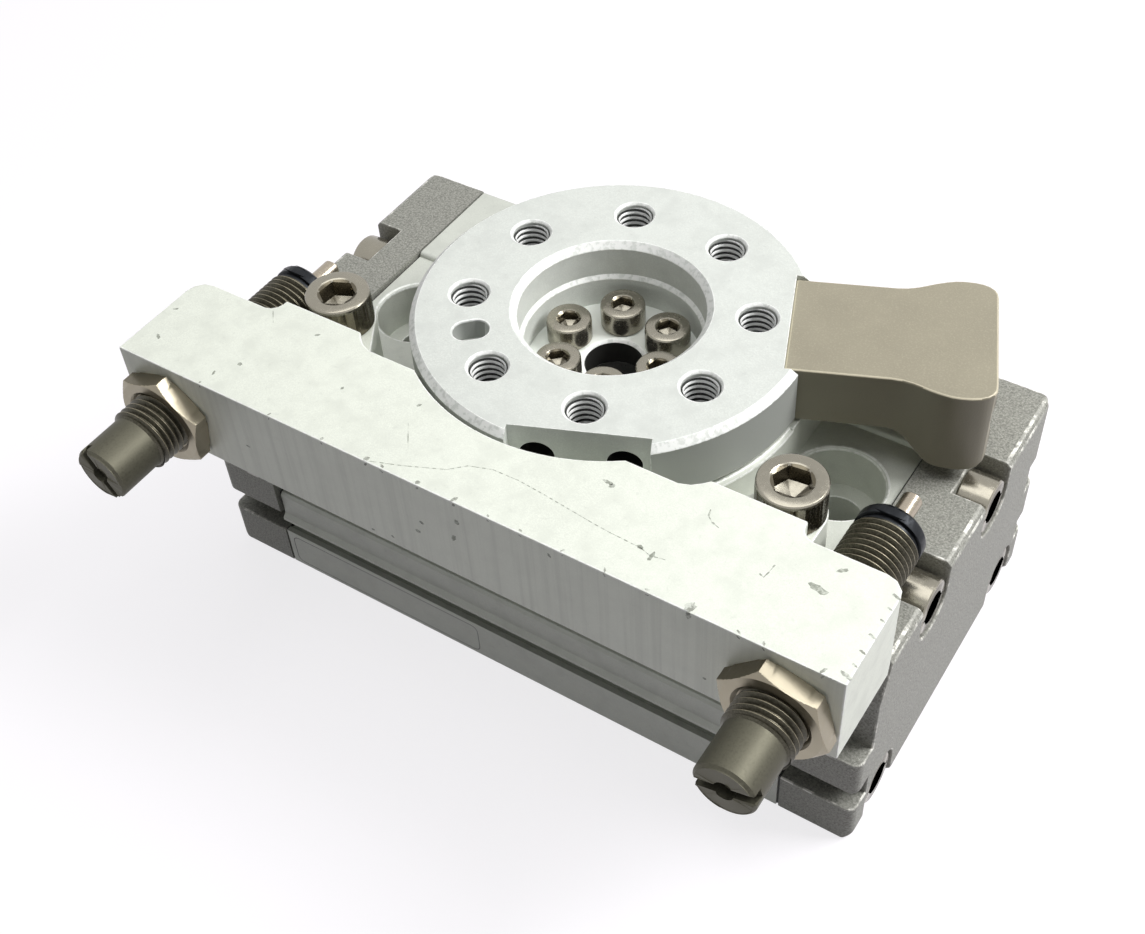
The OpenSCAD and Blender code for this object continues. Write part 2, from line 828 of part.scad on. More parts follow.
module table()
{
    color(silver)
    difference()
    {
        rotate_extrude($fn = 96)
            polygon([[hollow_size / 2, hub_top + 0.1], [hollow_size / 2, table_floor - 0.45],
                [hollow_size / 2 + 0.45, table_floor], [table_bore / 2 - 0.55, table_floor],
                [table_bore / 2 - 0.55, table_floor + 4.8], [table_bore / 2, table_floor + 5.4],
                [table_bore / 2, table_top - 1], [table_bore / 2 + 1, table_top],
                [table_size / 2 - table_chamfer, table_top], [table_size / 2, table_top - table_chamfer],
                [table_size / 2, table_bottom + 0.4], [table_size / 2 - 0.4, table_bottom],
                [upper_bore / 2 + 1.2, table_bottom], [upper_bore / 2 + 1.2, retainer_seat],
                [upper_bore / 2, retainer_seat], [upper_bore / 2, upper_seat + 0.8],
                [upper_bore / 2 - 0.5, upper_seat + 0.3], [hub_radius, upper_seat + 0.3],
                [hub_radius, hub_top + 0.1]]);
        hub_screw_places()
            upright(hub_screw / 2 + hole_gap, hub_top - 1, table_floor + 1, sides = 20);
        rotate([0, 0, arm_angle])
        {
            upright(pin_size / 2, hub_top - 1, table_floor - pin_cover, pin_circle, 0, 20);
            for (i = [0 : table_holes - 1])
                rotate([0, 0, 360 / table_holes * i])
                    translate([table_pcd / 2, 0, 0])
                    {
                        upright(table_core / 2, table_bottom - 1, table_top + 1, sides = 24);
                        translate([0, 0, table_top - hole_bevel])
                            cylinder(r1 = table_core / 2, r2 = table_core / 2 + hole_bevel + eps,
                                h = hole_bevel + eps, $fn = 24);
                    }
            rotate([0, 0, slot_turn])
            {
                for (end = [-1, 1])
                    upright(slot_width / 2, table_top - slot_depth, table_top + 1,
                        slot_middle + end * slot_straight / 2, 0, 24);
                translate([slot_middle - slot_straight / 2, -slot_width / 2, table_top - slot_depth])
                    cube([slot_straight, slot_width, slot_depth + 1]);
            }
            for (turn = flat_turns)
                rotate([0, 0, turn])
                {
                    translate([flat_distance, -flat_width / 2, table_bottom - 1])
                        cube([table_size / 2, flat_width, table_thick + 2]);
                    arm_screw_places()
                        along_x(mid_screw / 2 + thread_gap, flat_distance - arm_thread - arm_spare,
                            flat_distance + 1, 0, 0, 24);
                }
        }
    }
}

module table_screws()
{
    color(steel)
    hub_screw_places()
        translate([0, 0, table_floor])
            cap_screw(hub_screw, table_floor - hub_top + hub_thread, hub_screw * 1.75);
}

module drive_pin()
{
    color(steel)
    rotate([0, 0, arm_angle])
        upright(pin_size / 2, hub_top - pin_sink + 0.2, table_floor - pin_cover - 0.2, pin_circle, 0, 20);
}

function inv(a) = tan(a) * 180 / PI - a;
function flank(r) =
    90 / pinion_teeth + inv(pressure_angle) - inv(acos(min(1, base_radius / r)))
        - flank_gap / pitch_radius * 180 / PI;
flank_radii = concat([root_radius], [for (i = [0 : 5]) base_radius + (tip_radius - base_radius) * i / 5]);

module pinion_gear()
{
    tooth = concat([for (i = [0 : 6]) [flank_radii[i], -flank(max(flank_radii[i], base_radius))]],
        [for (i = [6 : -1 : 0]) [flank_radii[i], flank(max(flank_radii[i], base_radius))]]);
    polygon([for (k = [0 : pinion_teeth - 1]) for (p = tooth)
        [p[0] * cos(p[1] - 90 + k * 360 / pinion_teeth), p[0] * sin(p[1] - 90 + k * 360 / pinion_teeth)]]);
}

module pinion()
{
    color(steel)
    difference()
    {
        union()
        {
            rotate_extrude($fn = 64)
                polygon([[0, shaft_bottom], [journal_radius - 0.4, shaft_bottom],
                    [journal_radius, shaft_bottom + 0.4], [journal_radius, lower_seat],
                    [neck_radius, lower_seat], [neck_radius, flange_bottom],
                    [flange_radius, flange_bottom], [flange_radius, upper_seat], [hub_radius, upper_seat],
                    [hub_radius, hub_top - 0.4], [hub_radius - 0.4, hub_top], [0, hub_top]]);
            translate([0, 0, bore_height - tooth_length / 2])
                linear_extrude(height = tooth_length)
                    pinion_gear();
        }
        upright(hollow_size / 2, shaft_bottom - 1, hub_top + 1);
        hub_screw_places()
            upright(hub_screw / 2 + thread_gap, hub_top - hub_thread - hub_spare, hub_top + 1, sides = 24);
        rotate([0, 0, arm_angle])
            upright(pin_size / 2, hub_top - pin_sink, hub_top + 1, pin_circle, 0, 20);
    }
}

module arm()
{
    neck = neck_width / 2;
    lobe = lobe_width / 2;
    flare = lobe - neck;
    // Distance from the outer end, share of the flare
    outline = [[14.5, 0], [13, 0.06], [11.5, 0.22], [10.2, 0.43], [9, 0.63], [7.5, 0.83], [6.2, 0.96],
        [5, 1], [3.5, 0.98], [2.2, 0.89], [1.2, 0.72], [0.5, 0.48], [0.1, 0.19], [0, -0.15]];
    edge = concat([[flat_distance, neck]], [for (p = outline) [arm_reach - p[0], neck + p[1] * flare]]);
    last = len(edge) - 1;
    color(steel)
    rotate([0, 0, arm_angle])
    difference()
    {
        intersection()
        {
            translate([0, 0, lobe_bottom - 1])
                linear_extrude(height = arm_top - lobe_bottom + 2)
                    polygon(concat(edge, [for (i = [last : -1 : 0]) [edge[i][0], -edge[i][1]]]));
            translate([0, lobe_width, 0])
                rotate([90, 0, 0])
                    linear_extrude(height = 2 * lobe_width)
                        polygon([[flat_distance, arm_top], [arm_reach, arm_top],
                            [arm_reach, lobe_bottom + 1.8], [arm_reach - 0.3, lobe_bottom + 0.9],
                            [arm_reach - 1, lobe_bottom + 0.3], [arm_reach - 2, lobe_bottom],
                            [arm_reach - 7.2, lobe_bottom], [arm_reach - 8.2, lobe_bottom + 0.2],
                            [arm_reach - 9.2, lobe_bottom + 0.8], [arm_reach - 10.5, lobe_bottom + 2.1],
                            [arm_reach - 11.7, neck_bottom - 1.1], [arm_reach - 12.7, neck_bottom - 0.4],
                            [arm_reach - 14, neck_bottom], [flat_distance, neck_bottom]]);
        }
        arm_screw_places()
        {
            along_x(mid_screw / 2 + hole_gap, flat_distance - 1, arm_seat + 1, 0, 0, 24);
            along_x(pocket_radius - 0.1, arm_seat, arm_reach + 1, 0, 0);
        }
    }
}

module arm_screws()
{
    color(steel)
    rotate([0, 0, arm_angle])
        arm_screw_places()
            translate([arm_seat, 0, 0])
                rotate([0, 90, 0])
                    cap_screw(mid_screw, arm_seat - flat_distance + arm_thread, mid_head);
}

// Pistons

// Front piston, its axis on X and the table axis at the origin of x
module piston_at_front()
{
    translate([-piston_shift, -bore_offset, bore_height])
        children();
}

module piston_body()
{
    low = ceil((rack_tooth_gap + 0.1 - piston_shift - rack_half) / pitch);
    high = floor((rack_half - piston_shift - rack_tooth_gap - 0.1) / pitch);
    tip = -bore_offset + tip_plane;
    root = -bore_offset + root_plane;
    difference()
    {
        piston_at_front()
            rotate([0, 90, 0])
                rotate_extrude($fn = 64)
                    polygon([[0, -piston_half], [piston_radius - 0.5, -piston_half],
                        [piston_radius, 0.5 - piston_half], [piston_radius, piston_half - 0.5],
                        [piston_radius - 0.5, piston_half], [0, piston_half]]);
        piston_at_front()
            for (end = [-1, 1])
            {
                groove(end, seal_start, seal_width + 0.1, seal_depth);
                groove(end, rack_half + 0.2, wear_width + 0.1, wear_depth);
            }
        translate([0, 0, bore_height - bore_size])
            linear_extrude(height = 2 * bore_size)
                polygon(concat([[-piston_shift - rack_half, 0], [-piston_shift - rack_half, tip]],
                    [for (k = [low : high]) for (p = [[-rack_tooth_gap, tip], [-rack_root_gap, root],
                        [rack_root_gap, root], [rack_tooth_gap, tip]]) [p[0] + k * pitch, p[1]]],
                    [[rack_half - piston_shift, tip], [rack_half - piston_shift, 0]]));
    }
}

rack_tooth_gap = pitch / 4 + tan(pressure_angle) * gear_module + flank_gap;
rack_root_gap = pitch / 4 - tan(pressure_angle) * 1.25 * gear_module + flank_gap;

// Ring-shaped cut measured outwards from the middle of the piston
module groove(end, start, width, depth)
{
    mirror([end < 0 ? 1 : 0, 0, 0])
        difference()
        {
            along_x(piston_radius + 1, start, start + width, 0, 0, 48);
            along_x(piston_radius - depth, start - 1, start + width + 1, 0, 0, 48);
        }
}

module rings(start, width, inner, outer)
{
    for (end = [0, 1])
        mirror([end, 0, 0])
            difference()
            {
                along_x(outer, start, start + width, 0, 0, 48);
                along_x(inner, start - 1, start + width + 1, 0, 0, 48);
            }
}

module piston_seal_pair()
{
    color(rubber)
    piston_at_front()
        rings(seal_start + 0.05, seal_width, piston_radius - seal_depth + 0.02, bore_radius - 0.03);
}

module wear_ring_pair()
{
    color(dark)
    piston_at_front()
        rings(rack_half + 0.25, wear_width, piston_radius - wear_depth + 0.02, bore_radius - 0.03);
}

module front_piston()
{
    color(silver)
    difference()
    {
        piston_body();
        piston_at_front()
            for (end = [-1, 1])
                along_x(magnet_size / 2, end * piston_half - magnet_length - magnet_sink,
                    end * piston_half + magnet_length + magnet_sink, 0, 0, 24);
    }
}

module piston_magnets()
{
    color(dark)
    piston_at_front()
        for (end = [-1, 1])
            mirror([end < 0 ? 1 : 0, 0, 0])
                along_x(magnet_size / 2, piston_half - magnet_sink - magnet_length, piston_half - magnet_sink,
                    0, 0, 24);
}

module front_piston_seals()
{
    piston_seal_pair();
}

module front_wear_rings()
{
    wear_ring_pair();
}

module rear_piston()
{
    color(silver)
    rotate([0, 0, 180])
        piston_body();
}

module rear_piston_seals()
{
    rotate([0, 0, 180])
        piston_seal_pair();
}

module rear_wear_rings()
{
    rotate([0, 0, 180])
        wear_ring_pair();
}

// Absorber bar and absorbers

// Right half of the bar seen from above, from the front corner to the cut-out
bar_corner = 3;
lug_root = 2.7;
bar_side = [[bar_half, bar_corner - bar_front], [bar_half, -bar_back - bar_corner],
    [bar_half - 0.4, -bar_back - 1.5], [bar_half - 1.5, -bar_back - 0.4], [bar_half - bar_corner, -bar_back],
    [lug_outer + 2, -bar_back], [lug_outer + 1.1, -bar_back + 0.3], [lug_outer + 0.4, -bar_back + 1],
    [lug_outer + 0.1, -bar_back + 1.8], [lug_outer, -bar_back + lug_root],
    [lug_inner + 0.8, -bar_back + lug_root], [lug_inner, -bar_back + 1.8],
    [lug_inner - 1.2, -bar_back + 0.8], [lug_inner - 2.8, -bar_back + 0.2]];

module absorber_bar()
{
    last = len(bar_side) - 1;
    color(silver)
    difference()
    {
        union()
        {
            translate([0, 0, bar_bottom])
                linear_extrude(height = bar_top - bar_bottom)
                    polygon(concat([[-bar_half, -bar_front], [bar_half, -bar_front]], bar_side,
                        [for (i = [last : -1 : 0]) [-bar_side[i][0], bar_side[i][1]]]));
            for (side = [0, 1])
                mirror([side, 0, 0])
                {
                    upright(lug_radius, top_floor, lug_seat, lug_pitch / 2, -lug_depth);
                    translate([0, 0, top_floor])
                        linear_extrude(height = lug_seat - top_floor)
                            polygon([[lug_outer, -lug_depth], [lug_outer, -bar_back + 2],
                                [lug_inner, -bar_back + 2], [lug_inner + 1.4, -bar_back + lug_root + 1.5],
                                [lug_pitch / 2 - lug_radius * 0.88, 0.46 * lug_radius - lug_depth]]);
                }
        }
        upright(bar_relief, bar_bottom - 5, bar_top + 5, sides = 96);
        for (side = [-1, 1])
        {
            along_y(absorber_size / 2 + absorber_gap, -bar_front - 1, 0, side * absorber_offset,
                absorber_height, 48);
            upright(lug_screw / 2 + hole_gap, top_floor - 1, lug_seat + 1, side * lug_pitch / 2,
                -lug_depth, 24);
        }
    }
}

module bar_screws()
{
    color(steel)
    for (side = [-1, 1])
        translate([side * lug_pitch / 2, -lug_depth, lug_seat])
            rotate([0, 0, side < 0 ? left_socket_turn : right_socket_turn])
                cap_screw(lug_screw, lug_seat - lug_screw_end, lug_screw * 1.66);
}

module lock_nut(x, phase)
{
    across = nut_flats / 2;
    translate([x, -bar_front, absorber_height])
        rotate([90, 0, 0])
            difference()
            {
                intersection()
                {
                    rotate([0, 0, phase])
                        cylinder(r = across / cos(30), h = nut_thick, $fn = 6);
                    rotate_extrude($fn = 48)
                        polygon([[0, 0], [across + 0.4, 0], [across + 1.2, 0.45],
                            [across + 1.2, nut_thick - 0.6], [across, nut_thick], [0, nut_thick]]);
                }
                upright(absorber_size / 2 + absorber_gap, -1, nut_thick + 1);
            }
}

module lock_nuts()
{
    color(steel)
    {
        lock_nut(-absorber_offset, left_nut_turn);
        lock_nut(absorber_offset, right_nut_turn);
    }
}

// Front end at y = 0, rod end towards +Y
module absorber_tube(turn)
{
    major = absorber_size / 2;
    thread_depth = 0.6;
    thread_start = plain_end + thread_depth;
    groove_end = tube_length - groove_place;
    rod_hole = rod_size / 2 + absorber_gap;
    difference()
    {
        rotate([-90, 0, 0])
            rotate_extrude($fn = 48)
                polygon([[0, front_hole_depth], [front_hole, front_hole_depth], [front_hole, 0],
                    [major - 1, 0], [major - thread_depth, 1 - thread_depth],
                    [major - thread_depth, plain_end], [major, thread_start],
                    [major, groove_end - 0.9], [major - 0.5, groove_end - 0.7],
                    [major - 0.5, groove_end - 0.1], [major - 0.05, groove_end],
                    [major - 0.05, tube_length - 0.5], [major - 0.4, tube_length], [rod_hole, tube_length],
                    [rod_hole, tube_length - gland_length], [chamber_radius, tube_length - gland_length],
                    [chamber_radius, chamber_start], [0, chamber_start]]);
        rotate([0, turn, 0])
            translate([-absorber_size, -1, -driver_width / 2])
                cube([2 * absorber_size, driver_depth + 1, driver_width]);
    }
}

module absorber_rod()
{
    radius = rod_size / 2;
    head = tube_length - gland_length - 0.2;
    head_radius = chamber_radius - 0.15;
    tip = tube_length + rod_reach;
    color(steel)
    rotate([-90, 0, 0])
        rotate_extrude($fn = 32)
            polygon([[0, head - piston_thick], [head_radius, head - piston_thick], [head_radius, head],
                [radius, head], [radius, tip - 0.4], [radius - 0.4, tip], [0, tip]]);
}

module left_absorber_tube()
{
    color(dark)
    translate([-absorber_offset, -left_front, absorber_height])
        absorber_tube(left_driver_turn);
}

module right_absorber_tube()
{
    color(dark)
    translate([absorber_offset, -right_front, absorber_height])
        absorber_tube(right_driver_turn);
}

module left_absorber_rod()
{
    translate([-absorber_offset, -left_front, absorber_height])
        absorber_rod();
}

module right_absorber_rod()
{
    translate([absorber_offset, -right_front, absorber_height])
        absorber_rod();
}

body();
left_cover();
right_cover();
left_gasket();
right_gasket();
left_cover_screws();
right_cover_screws();
passage_plugs();
upper_bearing_outer();
upper_bearing_inner();
upper_bearing_balls();
lower_bearing_outer();
lower_bearing_inner();
lower_bearing_balls();
bearing_retainer();
retainer_screws();
table();
table_screws();
drive_pin();
pinion();
arm();
arm_screws();
front_piston();
front_piston_seals();
front_wear_rings();
piston_magnets();
rear_piston();
rear_piston_seals();
rear_wear_rings();
absorber_bar();
bar_screws();
lock_nuts();
left_absorber_tube();
right_absorber_tube();
left_absorber_rod();
right_absorber_rod();
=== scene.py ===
import math

import bmesh
import bpy
from mathutils import Matrix, Vector


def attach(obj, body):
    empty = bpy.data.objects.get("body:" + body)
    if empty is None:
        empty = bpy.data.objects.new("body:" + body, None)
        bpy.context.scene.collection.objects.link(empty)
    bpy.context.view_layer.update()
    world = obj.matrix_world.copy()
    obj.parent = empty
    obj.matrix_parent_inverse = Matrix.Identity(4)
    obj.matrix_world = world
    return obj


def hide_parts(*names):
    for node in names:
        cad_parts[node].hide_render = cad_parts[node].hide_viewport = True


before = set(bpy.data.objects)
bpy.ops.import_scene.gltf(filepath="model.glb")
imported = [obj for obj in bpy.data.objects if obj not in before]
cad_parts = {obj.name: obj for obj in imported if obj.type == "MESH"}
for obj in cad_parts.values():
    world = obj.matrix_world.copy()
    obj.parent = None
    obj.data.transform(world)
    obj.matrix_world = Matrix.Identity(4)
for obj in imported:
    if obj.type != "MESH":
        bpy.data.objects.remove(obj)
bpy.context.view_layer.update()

mm = 0.001
print("stage: frame loaded")


# Finishes

class Finish:
    def __init__(self, name, **sockets):
        self.material = bpy.data.materials.new(name)
        self.material.use_nodes = True
        self.nodes = self.material.node_tree.nodes
        self.links = self.material.node_tree.links
        self.shader = self.nodes["Principled BSDF"]
        self.place = self.nodes.new("ShaderNodeTexCoord").outputs["Object"]
        for socket, value in sockets.items():
            self.shader.inputs[socket.replace("_", " ")].default_value = value

    def add(self, kind, inputs, **settings):
        node = self.nodes.new(kind)
        for key, value in settings.items():
            setattr(node, key, value)
        for key, value in inputs.items():
            if isinstance(value, bpy.types.NodeSocket):
                self.links.new(value, node.inputs[key])
            else:
                node.inputs[key].default_value = value
        return node

    def grain(self, size, detail=3, roughness=0.55, stretch=(1, 1, 1), distortion=0):
        mapping = self.add("ShaderNodeMapping", {"Vector": self.place, "Scale": stretch})
        noise = self.add("ShaderNodeTexNoise", {"Vector": mapping.outputs[0], "Scale": 1 / (size * mm),
            "Detail": detail, "Roughness": roughness, "Distortion": distortion})
        return noise.outputs["Fac"]

    def cells(self, size):
        voronoi = self.add("ShaderNodeTexVoronoi", {"Vector": self.place, "Scale": 1 / (size * mm)})
        return voronoi.outputs["Distance"]

    def spread(self, value, low, high, start=0, end=1):
        return self.add("ShaderNodeMapRange", {"Value": value, "From Min": low, "From Max": high,
            "To Min": start, "To Max": end}, clamp=True).outputs[0]

    def maths(self, operation, first, second=0.0, third=0.0):
        return self.add("ShaderNodeMath", {0: first, 1: second, 2: third}, operation=operation).outputs[0]

    def blend(self, factor, first, second, way="MIX"):
        node = self.add("ShaderNodeMix", {0: factor}, data_type="RGBA", blend_type=way)
        for index, value in ((6, first), (7, second)):
            if isinstance(value, bpy.types.NodeSocket):
                self.links.new(value, node.inputs[index])
            else:
                node.inputs[index].default_value = (*value, 1)
        return node.outputs[2]

    def attribute(self, name):
        return self.add("ShaderNodeAttribute", {}, attribute_name=name).outputs["Fac"]

    def relief(self, height, strength, depth, under=None):
        inputs = {"Height": height, "Strength": strength, "Distance": depth * mm}
        if under is not None:
            inputs["Normal"] = under
        return self.add("ShaderNodeBump", inputs).outputs[0]

    def paint(self, colour=None, roughness=None, normal=None, metallic=None):
        for socket, value in (("Base Color", colour), ("Roughness", roughness), ("Normal", normal),
                ("Metallic", metallic)):
            if value is not None:
                self.links.new(value, self.shader.inputs[socket])
        return self.material


def scale(colour, factor):
    return tuple(channel * factor for channel in colour)


# In blasted, the near-black colour is painted shade for bores and holes, the wall factor darkens side walls
# as painted shade, the floor and front factors lighten the hub floor and the bar's front as painted light,
# and the near-white colour lightens edges as worn edges and painted highlight.
blasted = {"body": (0.62, 0.64, 0.585), "table": (0.69, 0.715, 0.68), "bar": (0.79, 0.82, 0.74),
    "lighterEdge": (0.95, 0.96, 0.94), "deep": (0.03, 0.03, 0.028), "roughness": 0.44, "specular": 0.3,
    "wallShade": 0.58, "floorLight": 1.32, "frontLight": 1.2, "streak": 0.22, "streakShade": 0.55,
    "blotch": 0.93, "speck": 0.62}


def blastedSilver(name, colour, grainSize, wear=0.7, metallic=0.16, brushed=False):
    finish = Finish(name, Metallic=metallic, Specular_IOR_Level=blasted["specular"])
    fine = finish.grain(grainSize, 2)
    broad = finish.grain(16, 3)
    tint = finish.blend(finish.spread(broad, 0.3, 0.7), scale(colour, 0.96), scale(colour, 1.03))
    tint = finish.blend(finish.spread(fine, 0.42, 0.7), tint, scale(colour, 1.10))
    blotches = finish.spread(finish.grain(3.5, 4), 0.45, 0.68, 0, 0.8)
    tint = finish.blend(blotches, tint, scale(colour, blasted["blotch"]))
    specks = finish.spread(finish.grain(0.9, 3), 0.60, 0.72, 0, 0.16)
    tint = finish.blend(specks, tint, scale(colour, blasted["speck"]))
    if brushed:
        lines = finish.grain(1.3, 3, 0.65, (1, 1, 0.02))
        # Painted light: the bar's front faces are lightened; the streaks below are the brushed grain of the
        # front.
        front = finish.attribute("front")
        lighter = scale(colour, blasted["frontLight"])
        tint = finish.blend(finish.maths("MULTIPLY", front, 0.5), tint, lighter)
        streak = finish.maths("MULTIPLY", front, finish.spread(lines, 0.46, 0.68, 0, blasted["streak"]))
        tint = finish.blend(streak, tint, scale(colour, blasted["streakShade"]))
    else:
        # Painted shade: faces marked front (the table's outer side wall and slot walls) are darkened.
        tint = finish.blend(finish.attribute("front"), tint, scale(colour, blasted["wallShade"]))
        # Painted light: the hub floor in the table's bore is lightened.
        tint = finish.blend(finish.attribute("plain"), tint, scale(colour, blasted["floorLight"]))
    # Bevelled edges and the table's chamfers are lightened: worn edges and painted highlight.
    rubbed = finish.spread(finish.grain(0.8, 4), 0.40, 0.52, 0.25, 1)
    edge = finish.maths("MULTIPLY", finish.attribute("edge"), rubbed)
    tint = finish.blend(finish.maths("MULTIPLY", edge, wear), tint, blasted["lighterEdge"])
    # Painted shade: the table's bore walls and arm-screw hole walls are darkened to near black.
    tint = finish.blend(finish.attribute("paintedShade"), tint, blasted["deep"])
    rough = finish.spread(fine, 0.3, 0.7, blasted["roughness"] - 0.05, blasted["roughness"] + 0.1)
    return finish.paint(tint, rough, finish.relief(fine, 0.45, 0.03))


# The spark colour serves painted glints and the lighter edges.
castLook = {"colour": (0.175, 0.175, 0.157), "light": (0.37, 0.37, 0.333), "spark": (0.9, 0.89, 0.83),
    "metallic": 0.1, "specular": 0.3}


def castGrey(name):
    finish = Finish(name, Metallic=castLook["metallic"], Specular_IOR_Level=castLook["specular"])
    skin = finish.grain(0.34, 4, 0.7)
    tint = finish.blend(finish.spread(skin, 0.36, 0.62), castLook["colour"], castLook["light"])
    # Painted glints: tiny bright specks in the spark colour.
    paintedGlints = finish.spread(finish.grain(0.2, 1), 0.66, 0.72)
    tint = finish.blend(finish.maths("MULTIPLY", paintedGlints, 0.45), tint, castLook["spark"])
    # Bevelled edges are lightened in noisy patches.
    lighterEdge = finish.spread(finish.grain(2.4, 4, 0.7), 0.50, 0.60, 0.12, 0.95)
    edge = finish.maths("MULTIPLY", finish.attribute("edge"), lighterEdge)
    tint = finish.blend(edge, tint, castLook["spark"])
    rough = finish.spread(finish.cells(0.28), 0.1, 0.6, 0.38, 0.52)
    return finish.paint(tint, rough, finish.relief(skin, 0.6, 0.06))


def satinSteel(name, colour, grainSize, metallic, roughness, depth, spark, paintedShade=(0.2, 0.17, 0.11)):
    finish = Finish(name, Metallic=metallic)
    fine = finish.grain(grainSize, 3)
    broad = finish.spread(finish.grain(9, 2), 0.3, 0.7)
    tint = finish.blend(broad, scale(colour, 0.94), scale(colour, 1.05))
    tint = finish.blend(finish.spread(fine, 0.50, 0.68, 0, spark), tint, scale(colour, 1.5))
    # Painted highlight: bevelled edges are lightened towards 1.9 times the colour.
    tint = finish.blend(finish.maths("MULTIPLY", finish.attribute("edge"), 0.75), tint, scale(colour, 1.9))
    # Painted shade: faces marked for it are darkened towards the given shade colour.
    tint = finish.blend(finish.maths("MULTIPLY", finish.attribute("paintedShade"), 0.85), tint, paintedShade)
    rough = finish.spread(fine, 0.3, 0.7, roughness - 0.05, roughness + 0.08)
    return finish.paint(tint, rough, finish.relief(fine, 0.4, depth))


# The two cut-thread colours are painted shadow in the roots and painted highlight on the crests.
threadLook = {"low": (0.050, 0.046, 0.032), "high": (0.10, 0.093, 0.068), "plain": (0.10, 0.096, 0.07),
    "crest": (0.36, 0.32, 0.23), "ring": (0.012, 0.014, 0.017), "metallic": 0.7,
    "cutShadedRoot": (0.02, 0.022, 0.02), "cutLitCrest": (0.97, 0.98, 0.97)}


def threadDark(name):
    finish = Finish(name, Metallic=threadLook["metallic"])
    fine = finish.grain(0.3, 3)
    tint = finish.blend(finish.spread(fine, 0.35, 0.7), threadLook["low"], threadLook["high"])
    plain = finish.maths("MULTIPLY", finish.attribute("plain"), finish.spread(fine, 0.3, 0.75, 0.5, 1))
    tint = finish.blend(plain, tint, threadLook["plain"])
    rubbed = finish.spread(finish.grain(2.5, 3), 0.35, 0.6, 0.3, 1)
    crest = finish.maths("MULTIPLY", finish.attribute("crest"), rubbed)
    tint = finish.blend(crest, tint, threadLook["crest"])
    tint = finish.blend(finish.attribute("ring"), tint, threadLook["ring"])
    uneven = finish.spread(fine, 0.3, 0.7, 0.30, 0.44)
    rough = finish.maths("MULTIPLY_ADD", finish.attribute("plain"), 0.16, uneven)
    return finish.paint(tint, rough, finish.relief(fine, 0.2, 0.02))


def cutThread(name):
    # Painted light and shade: the crest and upper flank are painted as a highlight, and the roots as
    # shadow.
    finish = Finish(name, Metallic=0.1, Roughness=0.4)
    crest = finish.attribute("crest")
    return finish.paint(finish.blend(crest, threadLook["cutShadedRoot"], threadLook["cutLitCrest"]))


def markInk(name, colour, low, high):
    finish = Finish(name, Metallic=0.1, Roughness=0.6)
    tint = finish.blend(finish.spread(finish.grain(0.5, 3), low, high), colour, scale(blasted["bar"], 0.85))
    return finish.paint(tint)


# The arm's second colour and screwDark are painted shade colours; nutDark is a painted dark reflection on
# the nut's upper-left facet.
steel = {"arm": (0.315, 0.287, 0.215), "armShade": (0.165, 0.15, 0.105), "screw": (0.31, 0.29, 0.24),
    "screwDark": (0.10, 0.085, 0.055), "nut": (0.34, 0.305, 0.23), "nutDark": (0.10, 0.085, 0.05),
    "rod": (0.40, 0.35, 0.28), "bearing": (0.55, 0.55, 0.53), "gear": (0.35, 0.35, 0.34)}
finishes = {
    "body": blastedSilver("anodised body", blasted["body"], 0.14),
    "table": blastedSilver("blasted table", blasted["table"], 0.22, 0.95, 0.06),
    "bar": blastedSilver("blasted bar", blasted["bar"], 0.18, 0.75, 0.1, True),
    "tableThread": cutThread("cut thread"),
    "cast": castGrey("cast cover"),
    "arm": satinSteel("satin arm", steel["arm"], 0.26, 0.1, 0.4, 0.06, 0.3, steel["armShade"]),
    "screw": satinSteel("plated screw", steel["screw"], 0.6, 0.9, 0.22, 0.003, 0.04, steel["screwDark"]),
    "nut": satinSteel("nickel nut", steel["nut"], 1.2, 0.8, 0.34, 0.003, 0.04, steel["nutDark"]),
    "thread": threadDark("blackened thread"),
    "rod": satinSteel("polished rod", steel["rod"], 0.5, 0.9, 0.2, 0.005, 0.1),
    "bearing": satinSteel("ground ring", steel["bearing"], 0.5, 0.9, 0.2, 0.005, 0.1),
    "gear": satinSteel("machined steel", steel["gear"], 0.3, 0.9, 0.32, 0.01, 0.2),
    "rubber": satinSteel("black seal", (0.02, 0.02, 0.02), 0.4, 0, 0.6, 0.02, 0.1),
    "plastic": satinSteel("wear strip", (0.10, 0.09, 0.075), 0.4, 0, 0.5, 0.02, 0.1),
    "magnet": satinSteel("pressed magnet", (0.10, 0.10, 0.105), 0.2, 0.6, 0.5, 0.02, 0.2),
    "scuff": markInk("dark scuff", (0.30, 0.32, 0.27), 0.46, 0.72),
    "chip": markInk("edge chip", (0.30, 0.31, 0.27), 0.44, 0.64),
    "print": markInk("printed line", (0.10, 0.10, 0.10), 0.62, 0.80),
}
print("stage: finishes made")


# Shapes

def blank():
    bm = bmesh.new()
    for name in ("edge", "front", "paintedShade", "plain", "ring", "crest"):
        bm.faces.layers.float.new(name)
    return bm


def mark(bm, faces, name):
    layer = bm.faces.layers.float[name]
    for face in faces:
        face[layer] = 1


def put(name, bm, body, finish, node=None, crease=32, weighted=False):
    for face in bm.faces:
        face.smooth = True
    for edge in bm.edges:
        if len(edge.link_faces) == 2:
            edge.smooth = edge.calc_face_angle(0) < math.radians(crease)
    mesh = bpy.data.meshes.new(name)
    bm.to_mesh(mesh)
    bm.free()
    mesh.materials.append(finish)
    piece = bpy.data.objects.new(name, mesh)
    bpy.context.collection.objects.link(piece)
    if weighted:
        normals = piece.modifiers.new("even shading", "WEIGHTED_NORMAL")
        normals.keep_sharp = True
        normals.weight = 80
    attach(piece, body)
    if node:
        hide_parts(node)
    return piece


# A seam lies where the body meets a cover, and its edges stay sharp
joining = {"weld": 0.0005, "seam": (46.4, 47)}


def solidOf(node):
    bm = blank()
    bm.from_mesh(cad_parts[node].data)
    bmesh.ops.remove_doubles(bm, verts=bm.verts, dist=joining["weld"] * mm)
    return bm


